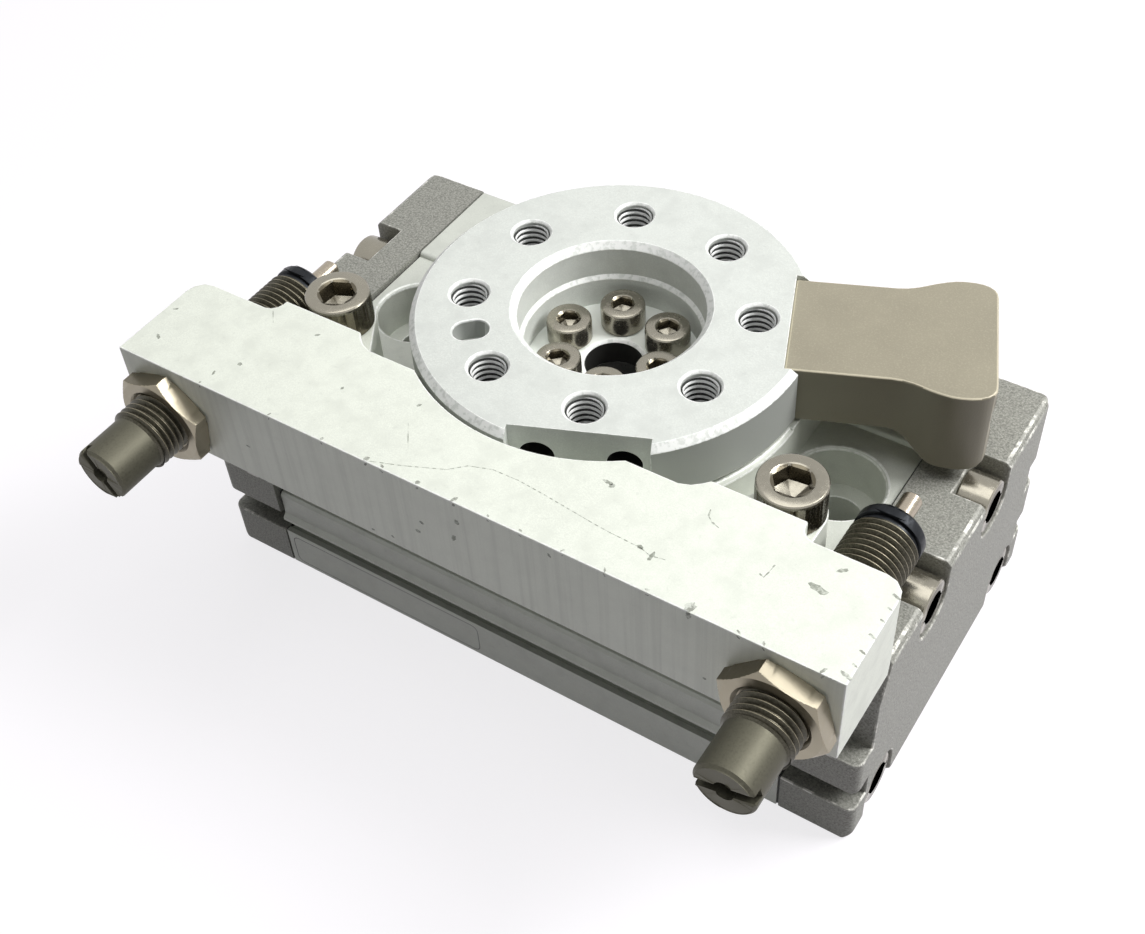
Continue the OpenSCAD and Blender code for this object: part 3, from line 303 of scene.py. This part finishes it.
def onSeam(edge):
    low, high = joining["seam"]
    return all(low * mm < abs(vert.co.x) < high * mm for vert in edge.verts)


# Only outer corners are broken
def breakEdges(bm, width, angle=40, segments=2, seams=True, chosen=None):
    edges = [edge for edge in bm.edges if len(edge.link_faces) == 2 and edge.is_convex
        and edge.calc_face_angle(0) > math.radians(angle) and (seams or not onSeam(edge))
        and (chosen is None or all(chosen(vert.co) for vert in edge.verts))]
    made = bmesh.ops.bevel(bm, geom=edges, offset=width * mm, offset_type="OFFSET", affect="EDGES",
        segments=segments, profile=0.5, material=-1, clamp_overlap=False)
    mark(bm, made["faces"], "edge")


def lofted(sections, sides=96):
    bm = blank()
    rings = []
    for height, radius in sections:
        ring = bmesh.ops.create_circle(bm, radius=mm, segments=sides)["verts"]
        for vert in ring:
            turn = math.atan2(vert.co.y, vert.co.x)
            reach = radius(turn) if callable(radius) else radius
            vert.co = Vector((math.cos(turn) * reach, math.sin(turn) * reach, height)) * mm
        rings.append({edge for vert in ring for edge in vert.link_edges})
    for lower, upper in zip(rings, rings[1:]):
        bmesh.ops.bridge_loops(bm, edges=list(lower | upper))
    for ring in (rings[0], rings[-1]):
        bmesh.ops.edgeloop_fill(bm, edges=list(ring))
    bmesh.ops.recalc_face_normals(bm, faces=bm.faces)
    return bm


def hexagon(flats):
    return lambda turn: flats / 2 / math.cos(turn % (math.pi / 3) - math.pi / 6)


def knurl(radius, ridges, depth):
    return lambda turn: radius - depth * (0.5 + 0.5 * math.cos(turn * ridges))


screwShape = {"tip": 0.4, "socketDepth": 0.6, "drillTip": 0.16, "knurl": 0.14, "bandLow": 0.3,
    "bandHigh": 0.7, "foot": [(0, 0.25), (0.2, 0.06)],
    "crown": [(0.62, 0.02), (0.28, 0.06), (0.08, 0.22), (0, 0.42)],
    "mouth": [(0, 0.64), (0.12, 0.6)], "mouthDepth": 0.3, "darkReach": 0.58, "darkBand": (0.1, 0.66, 0.4)}


def capScrew(size, head, headHeight, socket, length, ridges=0):
    shape = screwShape
    deep = headHeight - socket * shape["socketDepth"]
    ridged = knurl(head / 2, ridges, shape["knurl"]) if ridges else head / 2
    shank = [(-length, size / 2 - shape["tip"]), (-length + shape["tip"], size / 2), (0, size / 2)]
    foot = [(height, head / 2 - inset) for height, inset in shape["foot"]]
    band = [(shape["bandLow"], ridged), (headHeight - shape["bandHigh"], ridged)]
    crown = [(headHeight - drop, head / 2 - inset) for drop, inset in shape["crown"]]
    mouth = [(headHeight - drop, socket * share) for drop, share in shape["mouth"]]
    hole = [(headHeight - shape["mouthDepth"], hexagon(socket)), (deep, hexagon(socket)),
        (deep - socket * shape["drillTip"], socket * 0.1)]
    bm = lofted(shank + foot + band + crown + mouth + hole)
    # Painted shade: the inside of the socket and the knurled side band of the head are marked to be
    # darkened.
    low, drop, inset = shape["darkBand"]
    for face in bm.faces:
        middle = face.calc_center_median() / mm
        reach = middle.xy.length
        inSocket = middle.z > deep + 0.1 and reach < socket * shape["darkReach"]
        onBand = ridges and low < middle.z < headHeight - drop and reach > head / 2 - inset
        if inSocket or onBand:
            mark(bm, [face], "paintedShade")
    return bm


def copies(make, places):
    whole = blank()
    for place in places:
        part = make()
        part.transform(place)
        mesh = bpy.data.meshes.new("part")
        part.to_mesh(mesh)
        part.free()
        whole.from_mesh(mesh)
        bpy.data.meshes.remove(mesh)
    return whole


def at(x, y, z, turn=Matrix()):
    return Matrix.Translation(Vector((x, y, z)) * mm) @ turn


def turned(degrees, axis="Z"):
    return Matrix.Rotation(math.radians(degrees), 4, axis)


housing = {"bodyEdge": 0.18, "coverEdge": 0.3, "barEdge": 0.25}


def makeHousing():
    body = solidOf("body")
    breakEdges(body, housing["bodyEdge"], seams=False)
    put("housing", body, "base", finishes["body"], "body", weighted=True)
    for side in ("left", "right"):
        cover = solidOf(side + "_cover")
        breakEdges(cover, housing["coverEdge"], seams=False)
        put(side + "EndCover", cover, "base", finishes["cast"], side + "_cover",
            weighted=True)
    bar = solidOf("absorber_bar")
    # The bar's front faces are marked for painted light and for the brushed streaks.
    front = [face for face in bar.faces if face.normal.y < -0.9]
    mark(bar, front, "front")
    breakEdges(bar, housing["barEdge"])
    put("frontBar", bar, "base", finishes["bar"], "absorber_bar", weighted=True)
    print("stage: housing, covers and bar made")


disc = {"armAngle": 22.03, "holeCircle": 21.5, "holes": 8, "core": 2.5, "root": 2.85, "crest": 2.42,
    "pitch": 1.0, "low": 44.1, "high": 53.45, "edge": 0.1, "armEdge": 0.3, "top": 53.9, "slotTurn": 202.5,
    "slotEdge": 0.3, "slotReach": 4, "hollow": 4.7, "wall": 29, "hubFloor": 43.5, "hub": 14, "flat": 26.2,
    "armHole": 2.6, "holeEnd": 15.5, "threadTurns": 10}


def helix(profile, pitch, turns, steps=48):
    bm = blank()
    verts = [bm.verts.new(Vector((radius, 0, height)) * mm) for radius, height in profile]
    edges = [bm.edges.new(pair) for pair in zip(verts, verts[1:])]
    bmesh.ops.spin(bm, geom=verts + edges, cent=(0, 0, 0), axis=(0, 0, 1), dvec=(0, 0, pitch * mm / steps),
        angle=2 * math.pi * turns, steps=steps * turns, use_merge=False)
    bmesh.ops.remove_doubles(bm, verts=bm.verts, dist=0.003 * mm)
    return bm


def trim(bm, height, side):
    everything = list(bm.verts) + list(bm.edges) + list(bm.faces)
    bmesh.ops.bisect_plane(bm, geom=everything, dist=1e-7, plane_co=(0, 0, height * mm),
        plane_no=(0, 0, side), clear_outer=True)


def faceOut(bm, outward):
    lean = sum((face.normal.x * face.calc_center_median().x + face.normal.y * face.calc_center_median().y)
        for face in bm.faces)
    if (lean > 0) != outward:
        bmesh.ops.reverse_faces(bm, faces=bm.faces)


def tableThread():
    root, crest, pitch = disc["root"] + 0.03, disc["crest"], disc["pitch"]
    middle = crest + 0.45 * (root - crest)
    ridge = helix([(root, 0), (crest, 0.36 * pitch), (crest, 0.5 * pitch), (middle, 0.7 * pitch),
        (root, 0.96 * pitch), (root, pitch)], pitch, disc["threadTurns"], 40)
    ridge.normal_update()
    faceOut(ridge, False)
    # The crest and the first half of the upper flank are marked for the painted highlight; the roots stay
    # painted shadow.
    lit = [face for face in ridge.faces if face.normal.z > -0.2
        and math.hypot(*face.calc_center_median().xy) < middle * mm]
    mark(ridge, lit, "crest")
    ridge.transform(at(0, 0, disc["low"] - 0.5))
    trim(ridge, disc["high"], 1)
    trim(ridge, disc["low"], -1)
    return ridge


def inArmHole(point):
    for flat in (0, -90):
        x, y, z = turned(-disc["armAngle"] - flat) @ point / mm
        offAxis = math.hypot(abs(y) - screws["armSpread"], z - screws["armHeight"])
        if disc["holeEnd"] < x < disc["flat"] - 0.1 and offAxis < disc["armHole"]:
            return True
    return False


def makeDisc():
    table = solidOf("table")
    centres = [turned(disc["armAngle"] + 45 * i) @ Vector((disc["holeCircle"] * mm, 0, 0))
        for i in range(disc["holes"])]
    for vert in table.verts:
        for centre in centres:
            offset = Vector((vert.co.x - centre.x, vert.co.y - centre.y))
            if abs(offset.length - disc["core"] * mm) < 0.03 * mm:
                vert.co.xy = centre.xy + offset * (disc["root"] / disc["core"])
    slot = turned(disc["armAngle"] + disc["slotTurn"]) @ Vector((disc["holeCircle"] * mm, 0, 0))

    def nearSlot(point):
        return (point.xy - slot.xy).length < disc["slotReach"] * mm
    breakEdges(table, disc["slotEdge"], chosen=lambda point: point.z > disc["top"] * mm and nearSlot(point))
    breakEdges(table, disc["edge"], chosen=lambda point: not nearSlot(point))
    # Marks for painted light and shade: the bore and arm-screw hole walls and the outer side and slot walls
    # get painted shade, the hub floor gets painted light, and the chamfers get the lighter edge colour as a
    # painted highlight.
    for face in table.faces:
        middle = face.calc_center_median()
        reach = middle.xy.length / mm
        if inArmHole(middle) or (abs(face.normal.z) < 0.5 and reach < disc["hollow"]):
            mark(table, [face], "paintedShade")
        elif abs(face.normal.z) < 0.3 and (reach > disc["wall"] or (middle.xy - slot.xy).length < 3 * mm):
            mark(table, [face], "front")
        elif face.normal.z > 0.9 and middle.z < disc["hubFloor"] * mm and reach < disc["hub"]:
            mark(table, [face], "plain")
        elif 0.3 < face.normal.z < 0.9:
            mark(table, [face], "edge")
    put("roundTable", table, "rotor", finishes["table"], "table", weighted=True)
    put("tableThreads", copies(tableThread, [Matrix.Translation(centre) for centre in centres]), "rotor",
        finishes["tableThread"], None, 70)
    arm = solidOf("arm")
    # Painted shade: the arm's faces that face the front are marked to be darkened.
    front = turned(disc["armAngle"]) @ Vector((0, -1, 0))
    mark(arm, [face for face in arm.faces if face.normal.dot(front) > 0.6], "paintedShade")
    breakEdges(arm, disc["armEdge"], 30, 3)
    put("stopArm", arm, "rotor", finishes["arm"], "arm", 40, True)
    print("stage: table and arm made")


screws = {"hubCircle": 8.8, "hubFloor": 42.8, "coverSeat": 53.2, "middle": -0.35, "upper": (10.7, 32.2),
    "lower": (22.6, 4.8), "barHalf": 38.45, "barDepth": -16.9, "barSeat": 47, "armSeat": 46,
    "armHeight": 48.4, "armSpread": 6.2, "m4": (4, 7, 4, 3, 10), "m5": (5, 8.5, 5, 4, 12),
    "m5Long": (5, 8.5, 5, 4, 25), "m6": (6, 9.96, 6, 5, 18), "ridges": 40, "barTurns": ((-1, 25), (1, 6))}


def makeScrews():
    hub = [turned(disc["armAngle"] + 30 + 60 * i)
        @ at(screws["hubCircle"], 0, screws["hubFloor"], turned(17 * i)) for i in range(6)]
    put("hubScrews", copies(lambda: capScrew(*screws["m4"]), hub), "rotor", finishes["screw"],
        "table_screws", 28)
    bar = [at(side * screws["barHalf"], screws["barDepth"], screws["barSeat"], turned(phase))
        for side, phase in screws["barTurns"]]
    put("barScrews", copies(lambda: capScrew(*screws["m6"], screws["ridges"]), bar), "base",
        finishes["screw"], "bar_screws", 28)
    for name, side in (("left", -1), ("right", 1)):
        ends = [at(side * screws["coverSeat"], screws["middle"] + half * spread, height,
                turned(side * 90, "Y"))
            for spread, height in (screws["upper"], screws["lower"]) for half in (-1, 1)]
        put(name + "CoverScrews", copies(lambda: capScrew(*screws["m5"]), ends), "base",
            finishes["screw"], name + "_cover_screws", 28)
    arm = [turned(disc["armAngle"]) @ at(screws["armSeat"], half * screws["armSpread"], screws["armHeight"],
        turned(90, "Y")) for half in (-1, 1)]
    put("armScrews", copies(lambda: capScrew(*screws["m5Long"]), arm), "rotor", finishes["screw"],
        "arm_screws", 28)
    print("stage: screws made")


absorbers = {"offset": 50.8, "height": 44, "leftFront": -58.2, "rightFront": -57.6, "length": 46.9,
    "major": 5.0, "minor": 4.42, "plain": 7.7, "pitch": 1.0, "turns": 37, "ring": 2.7, "edge": 0.12,
    "threadLow": 0.25, "threadHigh": 2.75, "nutFlats": 14, "nutThick": 3, "nutBevel": 0.6, "nutBore": 5.05,
    "nutMouth": 5.6, "nutTurns": ((-1, 19.5), (1, 45.5)), "barFront": -42.9, "shadeTurn": 90,
    "shadeSpread": 25}


def absorberTube(name, lie):
    tube = solidOf(name)
    tube.transform(lie.inverted())
    for vert in tube.verts:
        reach = math.hypot(vert.co.x, vert.co.y)
        if reach > (absorbers["major"] - 0.02) * mm:
            vert.co.xy = vert.co.xy * (absorbers["minor"] / absorbers["major"])
    ringStart = absorbers["length"] - absorbers["ring"]
    plainEnd = absorbers["plain"] + 0.1
    mark(tube, [face for face in tube.faces if face.calc_center_median().z > ringStart * mm], "ring")
    mark(tube, [face for face in tube.faces if face.calc_center_median().z < plainEnd * mm], "plain")
    breakEdges(tube, absorbers["edge"], 30)
    tube.transform(lie)
    return tube


def absorberThread():
    major = absorbers["major"]
    minor = absorbers["minor"]
    pitch = absorbers["pitch"]
    bm = helix([(minor - 0.05, 0), (minor + 0.1, 0.12 * pitch), (major - 0.06, 0.42 * pitch),
        (major, 0.46 * pitch), (major, 0.54 * pitch), (major - 0.06, 0.58 * pitch),
        (minor + 0.1, 0.88 * pitch), (minor - 0.05, pitch)], pitch, absorbers["turns"])
    bm.normal_update()
    faceOut(bm, True)
    crest = [face for face in bm.faces
        if all(vert.co.xy.length > (major - 0.05) * mm for vert in face.verts)]
    mark(bm, crest, "crest")
    bm.transform(at(0, 0, absorbers["plain"] - 0.4))
    trim(bm, absorbers["length"] - absorbers["threadHigh"], 1)
    trim(bm, absorbers["plain"] + absorbers["threadLow"], -1)
    return bm


def makeAbsorbers():
    for name, side in (("left", -1), ("right", 1)):
        front = absorbers[name + "Front"]
        lie = at(side * absorbers["offset"], front, absorbers["height"], turned(-90, "X"))
        tube = absorberTube(name + "_absorber_tube", lie)
        put(name + "Absorber", tube, "base", finishes["thread"], name + "_absorber_tube",
            weighted=True)
        ridge = absorberThread()
        ridge.transform(lie)
        put(name + "AbsorberThread", ridge, "base", finishes["thread"], None, 60)
    nuts = [at(side * absorbers["offset"], absorbers["barFront"], absorbers["height"],
        turned(90, "X") @ turned(phase)) for side, phase in absorbers["nutTurns"]]
    put("lockNuts", copies(lockNut, nuts), "base", finishes["nut"], "lock_nuts", 24)
    print("stage: absorbers made")


def lockNut():
    flats = absorbers["nutFlats"]
    thick = absorbers["nutThick"]
    bore = absorbers["nutBore"]
    corner = flats / math.sqrt(3)
    across = hexagon(flats)

    def cut(limit):
        return lambda turn: min(across(turn), limit)
    bevel = absorbers["nutBevel"]
    drops = [bevel * i / 6 for i in range(6, -1, -1)]
    slope = [(thick - drop, cut(flats / 2 + 0.02 + drop * (corner - flats / 2 + 0.1) / bevel))
        for drop in drops]
    foot = [(0, bore), (0, flats / 2 - 0.1), (0.15, cut(flats / 2 + 0.4)), (0.35, cut(corner))]
    bm = lofted(foot + slope + [(thick, absorbers["nutMouth"]), (thick - 0.5, bore)], 144)
    # Painted dark reflection: the upper-left side facets are marked to be darkened.
    for face in bm.faces:
        turn = math.degrees(math.atan2(face.normal.y, face.normal.x))
        offSide = abs(turn - absorbers["shadeTurn"])
        if abs(face.normal.z) < 0.3 and offSide < absorbers["shadeSpread"]:
            mark(bm, [face], "paintedShade")
    return bm


wear = {"top": 53.2, "front": -42.9, "end": 58.8, "lift": 0.006, "thick": 0.004, "step": 0.5,
    "scratchWidth": 0.16, "hookWidth": 0.3, "tickWidth": 0.22, "lineWidth": 0.14, "widthSwing": 0.45,
    "blotSize": (1.3, 0.7), "ragged": (0.28, 0.16),
    "scratch": [(-12.6, -42.7), (-7.9, -41.0), (-2.1, -38.5), (0, -36.5), (3.3, -35.4), (7.4, -35.3),
        (11.7, -35.7), (16.0, -36.2), (20.2, -36.7), (22.7, -36.9), (27.4, -37.1), (29.0, -37.6),
        (31.0, -37.2)],
    "hook": [(31.8, -27.0), (32.1, -28.1), (33.0, -28.8), (34.2, -29.2)],
    "tick": [(42.2, -33.2), (42.9, -33.5), (43.1, -32.4), (43.2, -31.0)],
    "lines": [[(-43.9, -25.3), (-42.1, -27.4)], [(-11.9, -34.1), (-9.0, -38.0)]],
    "spots": [(17.8, -29.6, 0.5), (49.5, -31.7, 0.9), (50.8, -27.6, 0.5), (-57.2, -32.3, 0.3),
        (-55.2, -38.2, 0.4), (-40.5, -36.7, 0.35), (-42.6, -40.0, 0.3), (-34.6, -26.2, 0.3),
        (-24.3, -33.2, 0.25), (-12.7, -30.5, 0.3),
        (29.2, -37.6, 0.5), (27.2, -37.0, 0.4), (18.6, -29.9, 0.4)],
    "chips": [(-12.8, 0.8), (-10.1, 0.6), (-4.1, 0.7), (1.9, 0.8), (12.5, 0.5), (25.3, 0.5), (37.4, 1.5),
        (44.3, 0.5), (47.7, 0.5), (55.5, 0.7), (-30.0, 0.4), (-20.5, 0.5), (7.4, 0.4), (19.0, 0.4),
        (31.5, 0.5), (-43.0, 0.4)],
    "endChips": [(-41.6, 1.1), (-39.8, 0.5), (-37.6, 0.6), (-34.9, 0.7), (-32.2, 0.5), (-30.1, 0.5),
        (-28.0, 0.8)],
    "pits": [(-4.2, 45.5, 0.35), (-5.2, 43.2, 0.4), (2.2, 49.3, 0.45), (1.2, 45.5, 0.5),
        (-13.9, 38.4, 0.25), (17.1, 51.5, 0.3), (-10.3, 39.0, 0.25), (40.0, 41.0, 0.25),
        (-36.0, 44.0, 0.25)]}


def ribbon(bm, points, width, lay):
    for start, end in zip(points, points[1:]):
        along = Vector(end) - Vector(start)
        bits = max(1, round(along.length / wear["step"]))
        for i in range(bits):
            centre = Vector(start) + along * ((i + 0.5) / bits)
            made = bmesh.ops.create_grid(bm, x_segments=1, y_segments=1, size=0.5 * mm)["verts"]
            swing = wear["widthSwing"]
            thick = width * (1 - swing + swing * math.sin(centre.x * 7 + centre.y * 3))
            turn = Matrix.Rotation(math.atan2(along.y, along.x), 4, "Z")
            size = Matrix.Diagonal((along.length / bits, thick, 1, 1))
            bmesh.ops.transform(bm, verts=made, matrix=lay @ at(centre.x, centre.y, 0, turn @ size))


def blot(bm, x, y, radius, lay):
    made = bmesh.ops.create_circle(bm, cap_ends=True, radius=mm, segments=14)["verts"]
    slow, fast = wear["ragged"]
    wide, high = wear["blotSize"]
    for vert in made:
        turn = math.atan2(vert.co.y, vert.co.x)
        reach = radius * (1 + slow * math.sin(2 * turn + x * 5) + fast * math.sin(5 * turn + y * 9))
        vert.co = Vector((math.cos(turn) * reach * wide, math.sin(turn) * reach * high, 0)) * mm
    bmesh.ops.transform(bm, verts=made, matrix=lay @ at(x, y, 0, turned(x * 40)))


def thicken(bm):
    bm.normal_update()
    bmesh.ops.solidify(bm, geom=list(bm.faces), thickness=wear["thick"] * mm)
    return bm


def makeWear():
    top = at(0, 0, wear["top"] + wear["lift"])
    front = at(0, wear["front"] - wear["lift"], 0, turned(90, "X"))
    bm = bmesh.new()
    ribbon(bm, wear["scratch"], wear["scratchWidth"], top)
    ribbon(bm, wear["hook"], wear["hookWidth"], top)
    ribbon(bm, wear["tick"], wear["tickWidth"], top)
    for line in wear["lines"]:
        ribbon(bm, line, wear["lineWidth"], top)
    for x, y, radius in wear["spots"]:
        blot(bm, x, y, radius, top)
    for x, z, radius in wear["pits"]:
        blot(bm, x, z, radius, front)
    put("barScuffs", thicken(bm), "base", finishes["scuff"], None, 70)
    chips = bmesh.new()
    for x, size in wear["chips"]:
        blot(chips, x, wear["front"] + 0.3 + size * 0.35, size * 0.5, top)
        blot(chips, x + 0.2, wear["top"] - 0.35 - size * 0.2, size * 0.35, front)
    for y, size in wear["endChips"]:
        blot(chips, wear["end"] - 0.3 - size * 0.35, y, size * 0.5, top)
    put("barChips", thicken(chips), "base", finishes["chip"], None, 70)
    print("stage: wear made")


label = {"left": -45.4, "right": -7.2, "low": 1.0, "high": 7.2, "corner": 1.2, "line": 0.13, "face": -32,
    "lift": 0.006}


def makeLabel():
    lay = at(0, label["face"] - label["lift"], 0, turned(90, "X"))
    points = []
    for x, z, start in ((label["right"], label["low"], -90), (label["right"], label["high"], 0),
            (label["left"], label["high"], 90), (label["left"], label["low"], 180)):
        centre = Vector((x - math.copysign(label["corner"], x - label["left"] - 1),
            z - math.copysign(label["corner"], z - label["low"] - 1)))
        for i in range(5):
            turn = math.radians(start + 22.5 * i)
            points.append(centre + Vector((math.cos(turn), math.sin(turn))) * label["corner"])
    points.append(points[0])
    bm = bmesh.new()
    for first, second in zip(points, points[1:]):
        along = second - first
        made = bmesh.ops.create_grid(bm, x_segments=1, y_segments=1, size=0.5 * mm)["verts"]
        size = Matrix.Diagonal((along.length + label["line"], label["line"], 1, 1))
        middle = (first + second) / 2
        turn = Matrix.Rotation(math.atan2(along.y, along.x), 4, "Z")
        bmesh.ops.transform(bm, verts=made, matrix=lay @ at(middle.x, middle.y, 0, turn @ size))
    put("labelOutline", thicken(bm), "base", finishes["print"], None, 70)
    print("stage: label outline made")


nodeFinishes = {"left_gasket": "rubber", "right_gasket": "rubber", "passage_plugs": "screw",
    "bearing_retainer": "body", "retainer_screws": "screw", "drive_pin": "gear", "pinion": "gear",
    "front_piston": "body", "rear_piston": "body", "front_piston_seals": "rubber",
    "rear_piston_seals": "rubber", "front_wear_rings": "plastic", "rear_wear_rings": "plastic",
    "piston_magnets": "magnet", "left_absorber_rod": "rod", "right_absorber_rod": "rod",
    "upper_bearing_outer": "bearing",
    "upper_bearing_inner": "bearing", "upper_bearing_balls": "bearing", "lower_bearing_outer": "bearing",
    "lower_bearing_inner": "bearing", "lower_bearing_balls": "bearing"}


def dressNodes():
    for name, finish in nodeFinishes.items():
        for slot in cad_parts[name].material_slots:
            slot.material = finishes[finish]


makeHousing()
makeDisc()
makeScrews()
makeAbsorbers()
makeWear()
makeLabel()
dressNodes()


studio = {"floorColour": (0.30, 0.285, 0.31), "floorGlow": (0.77, 0.765, 0.775), "worldLevel": 0.11,
    "lamps": (((0.36, 0.24, 0.46), 0.26, 3.6, (1, 1, 0.99)), ((0.0, 0.02, 0.9), 0.7, 3.2, (1, 1, 0.99)))}
photo = {"width": 1145, "focal": 1533.36, "azimuth": 35.94, "elevation": 46.9, "distance": 257.97,
    "target": (-9.25, 0, 14.06), "roll": -4.29}


def seenRays(nodes, links):
    rays = nodes.new("ShaderNodeLightPath")
    total = rays.outputs["Is Camera Ray"]
    for name in ("Is Glossy Ray", "Is Transmission Ray"):
        larger = nodes.new("ShaderNodeMath")
        larger.operation = "MAXIMUM"
        links.new(total, larger.inputs[0])
        links.new(rays.outputs[name], larger.inputs[1])
        total = larger.outputs[0]
    return total


def makeStudio():
    bm = bmesh.new()
    bmesh.ops.create_grid(bm, x_segments=1, y_segments=1, size=4)
    mesh = bpy.data.meshes.new("floor")
    bm.to_mesh(mesh)
    bm.free()
    floor = bpy.data.objects.new("floor", mesh)
    bpy.context.collection.objects.link(floor)
    white = Finish("white floor", Roughness=0.9)
    white.shader.inputs["Base Color"].default_value = (*studio["floorColour"], 1)
    white.shader.inputs["Specular IOR Level"].default_value = 0
    white.shader.inputs["Emission Color"].default_value = (*studio["floorGlow"], 1)
    white.links.new(seenRays(white.nodes, white.links), white.shader.inputs["Emission Strength"])
    mesh.materials.append(white.material)
    world = bpy.data.worlds.new("soft room")
    bpy.context.scene.world = world
    world.use_nodes = True
    nodes = world.node_tree.nodes
    links = world.node_tree.links
    background = nodes["Background"]
    level = nodes.new("ShaderNodeMapRange")
    level.inputs["To Min"].default_value = studio["worldLevel"]
    links.new(seenRays(nodes, links), level.inputs["Value"])
    links.new(level.outputs[0], background.inputs["Strength"])
    background.inputs["Color"].default_value = (1, 1, 1, 1)
    for place, size, power, colour in studio["lamps"]:
        lamp = bpy.data.lights.new("lamp", "AREA")
        lamp.shape = "SQUARE"
        lamp.size = size
        lamp.energy = power
        lamp.color = colour
        holder = bpy.data.objects.new("lamp", lamp)
        holder.location = place
        holder.rotation_euler = (-Vector(place)).to_track_quat("-Z", "Y").to_euler()
        bpy.context.collection.objects.link(holder)


def makeCamera():
    azimuth = math.radians(photo["azimuth"])
    elevation = math.radians(photo["elevation"])
    back = Vector((math.sin(azimuth) * math.cos(elevation), -math.cos(azimuth) * math.cos(elevation),
        math.sin(elevation)))
    right = (-back).cross(Vector((0, 0, 1))).normalized()
    up = right.cross(-back)
    roll = math.radians(photo["roll"])
    tiltedRight = right * math.cos(roll) + up * math.sin(roll)
    tiltedUp = up * math.cos(roll) - right * math.sin(roll)
    pose = Matrix((tiltedRight, tiltedUp, back)).transposed().to_4x4()
    pose.translation = (Vector(photo["target"]) + back * photo["distance"]) * mm
    lens = bpy.data.cameras.new("camera")
    lens.sensor_width = 36
    lens.lens = photo["focal"] / photo["width"] * lens.sensor_width
    lens.clip_start = 0.01
    camera = bpy.data.objects.new("camera", lens)
    camera.matrix_world = pose
    bpy.context.collection.objects.link(camera)
    bpy.context.scene.camera = camera


makeStudio()
makeCamera()
bpy.context.scene.view_settings.view_transform = "Standard"
print("stage: studio and camera made")
